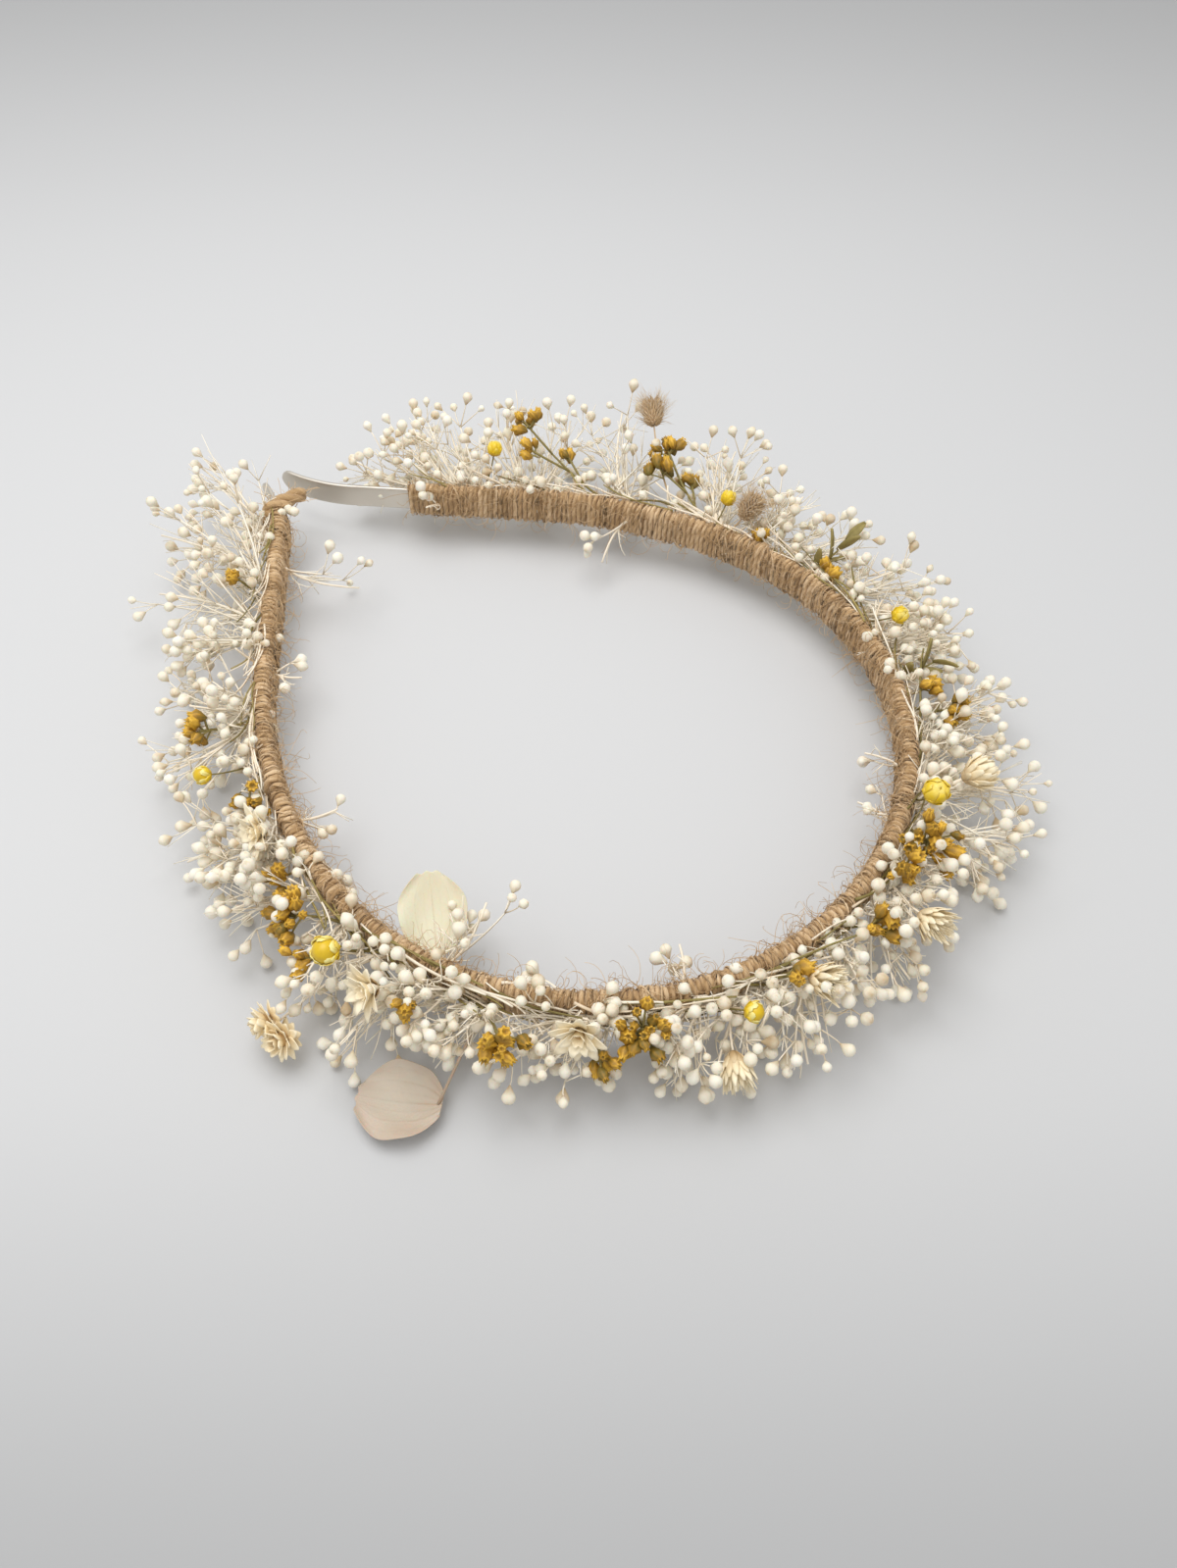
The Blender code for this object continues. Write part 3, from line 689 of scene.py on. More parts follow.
def dry_finish(name, colours, roughness, mottle=0.3, mottle_scale=(900.0,) * 3,
               grain_scale=(4000.0,) * 3, bump=0.25, subsurface=0.0, sheen=0.0):
    """A dry matte finish whose colour follows the points' tone, shade to main to light."""
    if name in bpy.data.materials:
        return bpy.data.materials[name]
    material = bpy.data.materials.new(name)
    material.use_nodes = True
    tree = material.node_tree
    shader = tree.nodes["Principled BSDF"]
    shader.inputs["Roughness"].default_value = roughness
    shader.inputs["Sheen Weight"].default_value = sheen
    shader.inputs["Subsurface Weight"].default_value = subsurface
    shader.inputs["Subsurface Scale"].default_value = 0.001
    tone = tree.nodes.new("ShaderNodeAttribute")
    tone.attribute_name = "tone"
    strand = tree.nodes.new("ShaderNodeAttribute")
    strand.attribute_name = "strand"
    group = tree.nodes.new("ShaderNodeGroup")
    group.node_tree = tone_group()
    for label, colour in zip(("Shade", "Main", "Light"), colours):
        group.inputs[label].default_value = (*colour, 1.0)
    group.inputs["Mottle Amount"].default_value = mottle
    group.inputs["Mottle Scale"].default_value = mottle_scale
    group.inputs["Grain Scale"].default_value = grain_scale
    height = node(tree, "ShaderNodeBump", Strength=bump, Distance=0.0001)
    tree.links.new(tone.outputs["Fac"], group.inputs["Tone"])
    tree.links.new(strand.outputs["Vector"], group.inputs["Vector"])
    tree.links.new(group.outputs["Color"], shader.inputs["Base Color"])
    tree.links.new(group.outputs["Height"], height.inputs["Height"])
    tree.links.new(height.outputs["Normal"], shader.inputs["Normal"])
    return material


def steel_finish(colours):
    """Satin steel with fine marks along the strip."""
    material = bpy.data.materials.new("satin_steel")
    material.use_nodes = True
    tree = material.node_tree
    shader = tree.nodes["Principled BSDF"]
    shader.inputs["Metallic"].default_value = 1.0
    place = tree.nodes.new("ShaderNodeTexCoord")
    stretch = node(tree, "ShaderNodeMapping", Scale=(250.0, 250.0, 6000.0))
    marks = node(tree, "ShaderNodeTexNoise", Scale=1.0, Detail=4.0)
    blotch = node(tree, "ShaderNodeTexNoise", Scale=220.0, Detail=2.0)
    tree.links.new(place.outputs["Object"], stretch.inputs["Vector"])
    tree.links.new(stretch.outputs["Vector"], marks.inputs["Vector"])
    tree.links.new(place.outputs["Object"], blotch.inputs["Vector"])
    rough = node(tree, "ShaderNodeMapRange", **{"To Min": 0.38, "To Max": 0.56})
    tree.links.new(marks.outputs["Fac"], rough.inputs["Value"])
    tree.links.new(rough.outputs["Result"], shader.inputs["Roughness"])
    tint = tree.nodes.new("ShaderNodeMix")
    tint.data_type = "RGBA"
    tint.inputs["A"].default_value = (*[0.88 * c for c in colours.steel], 1.0)
    tint.inputs["B"].default_value = (*colours.steel, 1.0)
    tree.links.new(blotch.outputs["Fac"], tint.inputs["Factor"])
    tree.links.new(tint.outputs["Result"], shader.inputs["Base Color"])
    bump = node(tree, "ShaderNodeBump", Strength=0.12, Distance=0.00005)
    tree.links.new(marks.outputs["Fac"], bump.inputs["Height"])
    tree.links.new(bump.outputs["Normal"], shader.inputs["Normal"])
    return material


def finishes(colours):
    """Every dry finish by name: shade, main and light colours, roughness and mottling."""
    c = colours
    fibres = dict(mottle_scale=(260.0, 5200.0, 5200.0), grain_scale=(500.0, 13000.0, 13000.0))
    veined = dict(mottle_scale=(300.0,) * 3, grain_scale=(2500.0,) * 3, bump=0.4, subsurface=0.3)
    return {
        "jute": dry_finish(
            "jute_twine", (c.jute_dark_and_shade, c.jute, c.jute_pale_and_highlight), 0.9, 0.9, bump=0.9, sheen=0.25, **fibres
        ),
        "fuzz": dry_finish("jute_fibre", (c.jute, c.jute, c.jute_pale_and_highlight), 0.8, 0.5),
        "bud": dry_finish(
            "gypsophila_bud", (c.bud_foot_and_shade, c.bud, c.bud_light), 0.78, 0.30, subsurface=0.1
        ),
        "twig": dry_finish("pale_twig", ((0.80, 0.63, 0.42), c.twig, (1.0, 0.94, 0.80)), 0.7, 0.35),
        "mustard": dry_finish(
            "mustard_floret", (c.mustard_foot_and_shade, c.mustard, c.mustard_tip), 0.55, 0.6, (1600.0,) * 3,
            bump=0.6,
        ),
        "olive": dry_finish("olive_stem", ((0.12, 0.085, 0.02), c.olive, (0.42, 0.33, 0.11)), 0.7, 0.6),
        "yellow": dry_finish("yellow_bract", ((0.42, 0.21, 0.015), c.yellow, c.yellow_tip), 0.38, 0.25),
        "cream": dry_finish("cream_bract", (c.cream_base, c.cream, (0.99, 0.89, 0.67)), 0.5, 0.3),
        "outer": dry_finish(
            "outer_petal", (c.petal_vein, c.petal, (0.58, 0.49, 0.39)), 0.45, 0.35, **veined
        ),
        "inner": dry_finish(
            "inner_petal", (c.petal_vein, c.petal_pale, (0.79, 0.73, 0.56)), 0.45, 0.3, **veined
        ),
        "grass": dry_finish(
            "grass_plume", ((0.48, 0.33, 0.17), c.grass, (0.86, 0.75, 0.58)), 0.85, 0.5, sheen=0.3
        ),
    }


# ---------------------------------------------------------------- twine and strip


def oval(angle, half_out, half_up, squareness=3.2):
    """Points round a rounded oblong: out and up at each angle."""
    power = 2.0 / squareness
    out = half_out * np.sign(np.cos(angle)) * np.abs(np.cos(angle)) ** power
    up = half_up * np.sign(np.sin(angle)) * np.abs(np.sin(angle)) ** power
    return out, up


def wind_twine(shape, band, twine, start, end, rng):
    """The twine's turns round the strip, as one two-ply tube, from start to end."""
    uneven_place, uneven_swell, uneven_girth, uneven_tone = 0.00030, 0.00014, 0.06, 0.19
    thin, ply_swell = 0.76, 0.30
    sizes = band.sizes
    turns = int(abs(end - start) / twine.pitch)
    count = turns * TWINE_STEPS
    turn = np.linspace(0.0, turns, count)
    knots = np.arange(turns + 2)

    def wander(amount):
        return np.interp(turn, knots, rng.normal(0.0, amount, len(knots)))

    along = start + (end - start) * turn / turns
    sway = wander(uneven_place) * np.sin(math.tau * turn + wander(0.8))
    along = along + sway * np.sin(math.pi * turn / turns)
    swell = wander(uneven_swell)
    shade = wander(uneven_tone)
    angle = math.tau * turn
    half_out = sizes.wrap_thickness / 2 - twine.radius + swell
    half_up = sizes.wrap_width / 2 - twine.radius + swell
    out, up = oval(angle, half_out, half_up, 3.0)
    path = band.places(along, out, up)
    _, _, outward = band.frames(along)
    facing = outward * (out / half_out ** 2)[:, None]
    facing[:, 2] += up / half_up ** 2
    heading = unit(np.gradient(path, axis=0))
    normal = unit(facing - heading * np.sum(facing * heading, -1, keepdims=True))
    other = np.cross(heading, normal)
    run = run_length(path)
    spin = math.tau * run / twine.twist
    theta = np.arange(TWINE_SIDES) * math.tau / TWINE_SIDES
    ply = np.abs(np.cos(theta[None, :] - spin[:, None] / 2))
    radius = twine.radius * (thin + ply_swell * ply) * (1.0 + wander(uneven_girth))[:, None]
    ring = normal[:, None] * np.cos(theta)[None, :, None] + other[:, None] * np.sin(theta)[None, :, None]
    points = path[:, None] + ring * radius[:, :, None]
    turned = theta[None, :] - spin[:, None] / 2
    strand = np.stack([
        np.repeat(run[:, None], TWINE_SIDES, axis=1), radius * np.cos(turned), radius * np.sin(turned)
    ], axis=-1)
    # Painted light and shade: lighter on the crown of each ply and on the side facing out from the band,
    # darker in the grooves between plies and on the side against the strip, plus a random drift from
    # turn to turn
    tone = 0.26 + 0.34 * ply + shade[:, None] + 0.14 * np.cos(theta)[None, :]
    shape.add_rings(points, np.clip(tone, 0.0, 1.0).ravel(), strand=strand)


def stray_plies(shape, band, start, end, rng):
    """Loosened plies that cross the turns at odd angles, so that the winding looks rough."""
    sizes = band.sizes
    low, high = min(start, end), max(start, end)
    half_out, half_up = sizes.wrap_thickness / 2, sizes.wrap_width / 2
    sunk, twist = 0.00022, 0.002
    for along in rng.uniform(low, high, STRAY_PLIES):
        part = np.linspace(0.0, 1.0, 22)
        sweep = rng.uniform(0.35, 1.15) * rng.choice((-1.0, 1.0))
        angle = rng.uniform(0, math.tau) + math.tau * sweep * part
        travel = rng.normal(0.0, 0.0022)
        rise = 0.00012 + 0.00030 * np.sin(math.pi * part) * rng.uniform(0.2, 1.0)
        out, up = oval(angle, half_out, half_up, 2.8)
        places = np.clip(along + travel * part + 0.0003 * np.sin(9 * part), low, high)
        path = band.places(
            places, out * (1.0 + (rise - sunk) / half_out), up * (1.0 + (rise - sunk) / half_up)
        )
        radius = rng.uniform(0.00007, 0.00021) * np.sin(math.pi * (0.12 + 0.76 * part))
        yarn(shape, path, radius, 5, twist, rng.uniform(0.25, 0.95))


def shade_core(shape, band, twine, start, end):
    """A dark core under the twine, seen only between its turns: painted shade deep in the gaps."""
    step, sides, depth, dark = 0.0015, 16, 0.75 * twine.radius, 0.15
    sizes = band.sizes
    places = np.linspace(start, end, int(abs(end - start) / step))
    angle = np.arange(sides) * math.tau / sides
    half_out = sizes.wrap_thickness / 2 - depth
    half_up = sizes.wrap_width / 2 - depth
    out, up = oval(angle, half_out, half_up)
    rings = np.stack([band.places(places, o, u) for o, u in zip(out, up)], axis=1)
    shape.add_rings(rings, dark)


def lay_stems(shape, band, start, end, rng):
    """Bound-in stems that lie along the outside of the twine before they spread."""
    sizes = band.sizes
    low, high = min(start, end), max(start, end)
    green_share = 0.34
    for _ in range(LAID_STEMS):
        first = rng.uniform(low, high - 0.008)
        last = min(high, first + rng.uniform(0.006, 0.018))
        part = np.linspace(0.0, 1.0, 12)
        angle = rng.normal(0.35, 0.6)
        drift = rng.normal(0.0, 0.9)
        out, up = oval(angle + drift * part, sizes.wrap_thickness / 2, sizes.wrap_width / 2, 2.6)
        belly = rng.uniform(0.0, 0.0012) * np.sin(math.pi * part)
        lift = 0.0001 + belly + rng.uniform(0.001, 0.005) * part ** 3
        path = band.places(first + (last - first) * part, out + lift, up + rng.uniform(0, 0.8) * lift)
        green = rng.uniform() < green_share
        radius = rng.uniform(0.00012, 0.00028) * (1.0 - 0.4 * part)
        tube(shape, path, radius, 5, rng.uniform(0.2, 0.9), 1 if green else 0)


def loose_fibres(shape, band, twine, start, end, rng):
    """Fine curved fibres that stand out of the twine."""
    sizes = band.sizes
    steps, bend, wave = 7, 0.42, 0.10
    for along in rng.uniform(min(start, end), max(start, end), twine.fuzz_count):
        angle = rng.choice((rng.uniform(0, math.tau), rng.normal(math.pi * 0.85, 0.6)))
        out, up = oval(np.array([angle]), sizes.wrap_thickness / 2, sizes.wrap_width / 2)
        root = band.places([along], out, up)[0]
        _, forward, outward = (v[0] for v in band.frames([along]))
        away = unit(outward * math.cos(angle) * 0.8 + np.array([0, 0, math.sin(angle)]))
        length = twine.fuzz_length * rng.uniform(0.15, 1.0) ** 1.8
        way = unit(away * rng.uniform(0.1, 0.9) + forward * rng.normal(0, 1.2) + rng.normal(0, 0.3, 3))
        curl = rng.normal(0, 1.0, 3)
        path = [root - away * 0.0002]
        for _ in range(steps):
            path.append(path[-1] + way * length / steps)
            way = unit(way + np.cross(curl, way) * bend + rng.normal(0, wave, 3))
        path = np.array(path)
        path[:, 2] = np.maximum(path[:, 2], FLOOR_LEVEL + 0.0002)
        tube(shape, path, np.linspace(1.0, 0.5, steps + 1) * twine.fuzz_radius, 3, rng.uniform(0.0, 1.0))


def steel_strip(band, name, side, material):
    """Half of the strip, from the crown's middle to a rounded tip."""
    sizes = band.sizes
    shape = Shape()
    sides, step, squareness = 20, 0.0012, 6.0
    half = sizes.strip_width / 2
    places = np.concatenate([
        np.arange(0.0, band.half - half, step),
        band.half - half * (1 - np.sin(np.linspace(0, 0.485 * math.pi, 9))),
    ])
    tip = np.maximum(places - (band.half - half), 0.0)
    widths = np.sqrt(np.maximum(half ** 2 - tip ** 2, 1e-9))
    angle = np.arange(sides) * math.tau / sides + math.tau / (2 * sides)
    rows = []
    for place, width in zip(places, widths):
        out, up = oval(angle, sizes.strip_thickness / 2, width, squareness)
        rows.append(band.places(np.full(sides, side * place), out, up))
    shape.add_rings(np.array(rows))
    return shape.to_object(name, [material])


def tail_path(band, steps):
    """The tail's course: up the strip's outer face, over its edge and inward, in soft bends."""
    past = band.wrap_end[-1] - 0.0060
    route = band.places(
        -np.array([past - 0.0016, past, past + 0.0003, past + 0.0009, past + 0.0019, past + 0.0030]),
        np.array([0.0022, 0.0024, 0.0011, -0.0009, -0.0036, -0.0060]),
        np.array([-0.0016, 0.0012, 0.0028, 0.0033, 0.0031, 0.0028]),
    )
    part = np.linspace(0, len(route) - 1, steps)
    path = np.stack([np.interp(part, np.arange(len(route)), route[:, i]) for i in range(3)], -1)
    for _ in range(6):
        path[1:-1] = (path[:-2] + 2 * path[1:-1] + path[2:]) / 4
    return path


def twine_tail(shape, band, twine, rng):
    """Three strands of twine twisted together, blunt at the free end, with fine fibres."""
    strands, strand_radius, spread, twist, steps = 3, 0.00085, 0.00075, 0.0085, 70
    path = tail_path(band, steps)
    heading, normal, other = path_frames(path)
    run = run_length(path)
    for strand in range(strands):
        turn = math.tau * (run / twist + strand / strands)
        offset = spread * (normal * np.cos(turn)[:, None] + other * np.sin(turn)[:, None])
        radii = np.full(steps, strand_radius)
        radii[-3:] *= (0.95, 0.8, 0.5)
        yarn(shape, path + offset, radii, 10, 0.005, rng.uniform(0.45, 0.65))
    for _ in range(TAIL_FIBRES):
        index = rng.integers(4, steps)
        way = unit(rng.normal(0, 1, 3) + 0.6 * heading[index])
        root = path[index] + way * 0.0012
        length = rng.uniform(0.001, 0.004)
        tip = root + way * length + rng.normal(0, 0.0006, 3)
        fibre = curve_points(root, root + way * 0.5 * length, tip, 5)
        tube(shape, fibre, twine.fuzz_radius, 3, 0.8, 1)


# ---------------------------------------------------------------- flowers


def bud_templates(rng):
    """Dry gypsophila buds: round, with a tapered foot and a pinched five-part top."""
    sides, parts = 10, 5
    turn = np.arange(sides) * math.tau / sides
    buds = []
    for _ in range(BUD_FORMS):
        peak = rng.choice((rng.uniform(-0.10, 0.05), rng.uniform(0.0, 0.30)))
        taper = rng.uniform(0.0, 1.0)
        profile = (
            (-1.45 - 0.25 * taper, 0.10, 0.10), (-1.08 - 0.15 * taper, 0.36, 0.30),
            (-0.66, 0.76 - 0.08 * taper, 0.50), (-0.18, 0.99, 0.66), (0.28, 0.99, 0.74),
            (0.66, 0.76, 0.72), (0.90 + 0.4 * peak, 0.44, 0.62), (0.92 + peak, 0.13, 0.40),
        )
        skew = rng.uniform(0, math.tau)
        rings, tones = [], []
        for height, radius, tone in profile:
            crease = 0.12 * max(0.0, height) * (0.5 + 0.5 * np.cos(parts * turn + skew))
            bump = rng.normal(0, 0.022, sides)
            girth = radius * (1.0 - crease + bump)
            ring = (girth * np.cos(turn), girth * np.sin(turn), np.full(sides, height))
            rings.append(np.stack(ring, -1))
            # Painted shade and light: darker in the creases and where the surface dips, lighter where it
            # bulges
            tones.append(tone - 1.2 * crease + 2.0 * bump)
        buds.append((np.array(rings), np.array(tones)))
    return buds


class Clearance:
    """Keeps buds from growing through each other."""

    def __init__(self, gap):
        self.gap, self.taken = gap, []

    def free(self, point):
        """Whether a point keeps the gap from all taken ones."""
        if not self.taken:
            return True
        gaps = np.linalg.norm(np.array(self.taken) - point, axis=1)
        return gaps.min() > self.gap

    def take(self, point):
        """Marks a point as taken."""
        self.taken.append(point)


def grow_main_stem(shape, foot, growth, forward, reach, radius, finish, rng, tone=0.5):
    """A main stem that leaves the twine low along the band and bends outward."""
    backing = -math.copysign(1.0, growth @ forward) * forward
    root = foot + backing * min(0.006, 0.35 * reach) - growth * 0.0006
    tip = foot + growth * reach
    sway = rng.normal(0, 0.03 * reach, 3)
    path = curve_points(root, foot + growth * 0.18 * reach + sway, tip, 9)
    tube(shape, path, np.linspace(1.0, 0.6, 9) * radius, 5, tone, finish)
    return path


def along_path(path, part):
    """The point at a part of the way along a path."""
    index = np.clip(part, 0, 1) * (len(path) - 1)
    low = int(min(index, len(path) - 2))
    return path[low] * (1 - index + low) + path[low + 1] * (index - low)


def add_template(shape, template, centre, axis, turn, size, shift):
    """A ready-made bud or floret head, turned and sized, with its tones shifted."""
    rings, tones = template
    placed = set_along(rings.reshape(-1, 3), centre, axis, turn, size)
    shape.add_rings(placed.reshape(rings.shape), np.clip(tones + shift, 0, 1).ravel())


def add_bud(shape, buds, knot, centre, size, radius, rng):
    """A bud on its own fine stalk."""
    aim = unit(centre - knot)
    sag = rng.normal(0, 0.0002, 3)
    stalk = curve_points(knot, (knot + centre) / 2 + sag, centre - aim * 1.2 * size, 4)
    tube(shape, stalk, np.linspace(1.15, 0.9, 4) * radius, 3, rng.uniform(0.3, 0.9), 1)
    template = buds[rng.integers(len(buds))]
    add_template(shape, template, centre, aim, rng.uniform(0, math.tau), size, rng.normal(-0.04, 0.17))


def grow_spray(shape, sprig, band, sizes, rng, buds, clearance):
    """A gypsophila spray: a stem with forked branches that end in small umbels of buds."""
    foot, growth, forward, reach = band.seat(sprig)
    path = grow_main_stem(shape, foot, growth, forward, 0.8 * reach, sizes.stem_radius, 1, rng, 0.55)
    first, second = across(growth)
    widening = 1.5 if sprig.style == "wide" else 1.0
    spread = sizes.spray_spread * (0.42 + 0.027 * min(sprig.reach, 24)) * widening
    low, lowest = FLOOR_LEVEL + 0.0016, FLOOR_LEVEL + 0.0003
    radius = sizes.twig_radius
    left, turn = 0.80 * sprig.heads, rng.uniform(0, math.tau)

    def twig(points, thick, thin, tone):
        radii = np.linspace(thick, thin, len(points)) * radius
        tube(shape, points, radii, 3, tone, 1)

    while left > 0:
        turn += GOLDEN_TURN
        radial = spread * math.sqrt(rng.uniform(0.0, 1.0))
        sideways = spoke(first, second, turn)
        height = reach * rng.uniform(0.36, 0.86) * (1.0 - 0.25 * (radial / spread) ** 2)
        knot = foot + growth * height + sideways * radial * 0.85
        knot[2] = max(knot[2], low)
        fork = along_path(path, rng.uniform(0.12, 0.62) * height / reach)
        bow = (fork + knot) / 2 + sideways * 0.12 * radial + rng.normal(0, 0.0005, 3)
        branch = curve_points(fork, bow, knot, 7)
        twig(branch, 2.1, 1.4, rng.uniform(0.5, 1.0))
        for start in (knot, knot, knot, branch[4], knot)[:rng.integers(3, 6)]:
            way = unit(growth * 0.75 + sideways * 0.7 * radial / spread + rng.normal(0, 0.62, 3))
            length = min(0.0064, rng.uniform(0.14, 0.34) * reach + 0.0006)
            size = sizes.bud_radius * rng.triangular(0.55, 0.98, 1.12)
            end = start + way * length
            end[2] = max(end[2], low)
            if left > 0 and clearance.free(end):
                clearance.take(end)
                add_bud(shape, buds, start, end, size, radius, rng)
                left -= 1
            else:
                twig(np.linspace(start, end, 3), 1.0, 0.6, rng.uniform(0.5, 1.0))
                left -= 0.25
    for _ in range(int(0.9 * sprig.heads)):
        root = along_path(path, rng.uniform(0.0, 0.75))
        way = unit(growth * 0.9 + rng.normal(0, 0.42, 3))
        end = root + way * rng.uniform(0.20, 0.55) * reach
        end[2] = max(end[2], lowest)
        bow = (root + end) / 2 + rng.normal(0, 0.0012, 3)
        stem = curve_points(root, bow, end, 5)
        twig(stem, 1.3, 0.7, rng.uniform(0.5, 1.0))
        side = stem[2] + unit(way + rng.normal(0, 0.45, 3)) * rng.uniform(0.12, 0.30) * reach
        side[2] = max(side[2], lowest)
        twig(np.linspace(stem[2], side, 3), 0.9, 0.6, rng.uniform(0.5, 1.0))


def floret_template(rng):
    """One mustard floret head: a crumpled ribbed urn, from nearly closed to a ragged open mouth."""
    sides, ribs_round = 14, 7
    mouth, lean = rng.uniform(0.45, 0.95), rng.normal(0, 0.12, 2)
    # Rows of height, radius and tone; the last two turn down into the mouth, darker there as painted
    # shade
    profile = (
        (-2.5, 0.20, 0.05), (-2.1, 0.52, 0.15), (-1.5, 0.86, 0.30), (-0.85, 1.0, 0.45),
        (-0.3, 0.92, 0.62), (0.02, 0.90, 0.92), (0.10, 0.70, 1.0), (-0.12, 0.48, 0.45),
        (-0.32, 0.16, 0.15),
    )
    turn = np.arange(sides) * math.tau / sides
    wave = np.cos(ribs_round * turn)
    rings, tones = [], []
    for row, (height, radius, tone) in enumerate(profile):
        ribs = 1.0 + 0.12 * wave * min(1.0, radius) + rng.normal(0, 0.07, sides)
        if row > 3:
            radius *= mouth
        if row > 6:
            height += 0.35 * (1.0 - mouth)
        if row in (5, 6):
            teeth = 0.24 * wave + rng.normal(0, 0.17, sides)
        else:
            teeth = rng.normal(0, 0.05, sides)
        girth, rise = radius * ribs, 1.6 + height
        ring = (girth * np.cos(turn) + lean[0] * rise, girth * np.sin(turn) + lean[1] * rise)
        rings.append(np.stack([*ring, height + teeth], -1))
        # Painted light and shade: lighter on the rib crests and teeth, darker in the grooves between
        # ribs
        tones.append(tone + 0.14 * wave + rng.normal(0, 0.08, sides))
    return np.array(rings), np.array(tones)


# A mustard sprig's clusters by style: how far up, how far aside and their share of the heads
MUSTARD_CLUSTERS = {
    "": ((1.0, 0.0, 1.0),),
    "tall": ((1.0, 0.0, 0.5), (0.78, 0.0030, 0.3), (0.60, -0.0026, 0.2)),
}


def grow_mustard(shape, sprig, band, sizes, rng, templates):
    """A mustard sprig: an olive stem that forks into clusters of floret heads."""
    foot, growth, forward, reach = band.seat(sprig)
    path = grow_main_stem(shape, foot, growth, forward, reach - 0.003, sizes.stem_radius, 1, rng, 0.5)
    first, second = across(growth)
    sprig_shift = rng.normal(0, 0.06)
    for height, aside, share in MUSTARD_CLUSTERS[sprig.style]:
        heart = foot + growth * reach * height + second * aside
        fork = along_path(path, 0.75 * height)
        bow = (fork + heart) / 2 + second * 0.3 * aside
        tube(shape, curve_points(fork, bow, heart - growth * 0.003, 5), 0.00024, 5, 0.5, 1)
        for i in range(max(1, round(sprig.heads * share))):
            azimuth = i * GOLDEN_TURN + rng.uniform(-0.3, 0.3)
            radial = 1.16 * sizes.floret_radius * math.sqrt(i) * rng.uniform(0.85, 1.2)
            sideways = spoke(first, second, azimuth)
            top = heart - growth * (0.16 * radial + rng.uniform(0, 0.0022)) + sideways * radial
            axis = unit(growth + sideways * radial / 0.0042 + rng.normal(0, 0.28, 3))
            size = sizes.floret_radius * rng.uniform(0.62, 1.16)
            base = top - axis * 2.4 * size
            root = heart - growth * rng.uniform(0.0032, 0.0052)
            stalk = curve_points(root, (root + base) / 2 + growth * 0.0004, base + axis * 0.0003, 5)
            tube(shape, stalk, np.linspace(1.0, 0.9, 5) * 0.00020, STEM_SIDES, rng.uniform(0.3, 0.9), 1)
            template, spin = templates[rng.integers(len(templates))], rng.uniform(0, 6)
            add_template(shape, template, top, axis, spin, size, sprig_shift + rng.normal(0.05, 0.16))


def bract(frame_of_bloom, azimuth, rise, base_radius, length, width, open_from, open_to):
    """Grid of one bract that leaves the base and turns from one opening angle to another."""
    centre, axis, first, second = frame_of_bloom
    rows, across_count = 6, 5
    part = np.linspace(0, 1, rows)
    opening = np.radians(open_from + (open_to - open_from) * part)
    step = length / (rows - 1)
    out = base_radius + np.concatenate(([0], np.cumsum(np.sin(opening[:-1]) * step)))
    up = rise + np.concatenate(([0], np.cumsum(np.cos(opening[:-1]) * step)))
    half = width / 2 * np.sin(math.pi * (0.12 + 0.82 * part ** 1.3)) ** 0.8
    columns = np.linspace(-1, 1, across_count)
    radial = spoke(first, second, azimuth)
    tangent = -first * math.sin(azimuth) + second * math.cos(azimuth)
    grid = (
        centre + radial * out[:, None, None] + axis * up[:, None, None]
        + tangent * (half[:, None] * columns[None, :])[:, :, None]
        - radial * (0.45 * half[:, None] * columns[None, :] ** 2)[:, :, None]
    )
    return grid, np.repeat(part[:, None], across_count, axis=1)


def bloom(shape, centre, axis, layers, rng, thickness):
    """Layers of bracts round an axis: count, rise, base, length, width, angles, tones."""
    axis = unit(axis)
    first, second = across(axis)
    for level, (count, rise, base, length, width, open_from, open_to, low, high) in enumerate(layers):
        for i in range(count):
            azimuth = (i + 0.5 * (level % 2)) * math.tau / count + rng.normal(0, 0.08)
            grow = rng.uniform(0.9, 1.1)
            grid, part = bract(
                (centre, axis, first, second), azimuth, rise, base, length * grow,
                width * rng.uniform(0.9, 1.1), open_from + rng.normal(0, 3), open_to + rng.normal(0, 6),
            )
            tone = np.clip(low + (high - low) * part + rng.normal(0, 0.05), 0, 1)
            thin_sheet(shape, grid, thickness, tone)


def add_ball(shape, centre, axis, size, stretch, tone):
    """A round or egg-shaped heart."""
    points, faces = ball_template(3)
    scaled = points * np.array([1.0, 1.0, stretch])
    shape.add(set_along(scaled, centre, axis, 0.0, size), faces, tone)


def shell_bract(centre, axis, azimuth, radius, stretch, span, width, flare):
    """Grid of one bract that hugs an egg shape from one angle above its foot to another."""
    rows, across_count = 8, 7
    axis = unit(axis)
    first, second = across(axis)
    part = np.linspace(0, 1, rows)
    polar = np.radians(span[0] + (span[1] - span[0]) * part)
    half = width / 2 * np.sin(math.pi * (0.20 + 0.76 * part)) ** 0.7
    columns = np.linspace(-1, 1, across_count)
    ring = radius * np.sin(polar)
    angle = azimuth + (half / np.maximum(ring, 0.35 * radius))[:, None] * columns[None, :]
    out = (ring + flare * part ** 3)[:, None] * (1.0 - 0.03 * columns[None, :] ** 2)
    up = -radius * stretch * np.cos(polar)[:, None] + 0 * angle
    around = first * np.cos(angle)[..., None] + second * np.sin(angle)[..., None]
    grid = centre + around * out[..., None] + axis * up[..., None]
    return grid, np.repeat(part[:, None], across_count, axis=1)


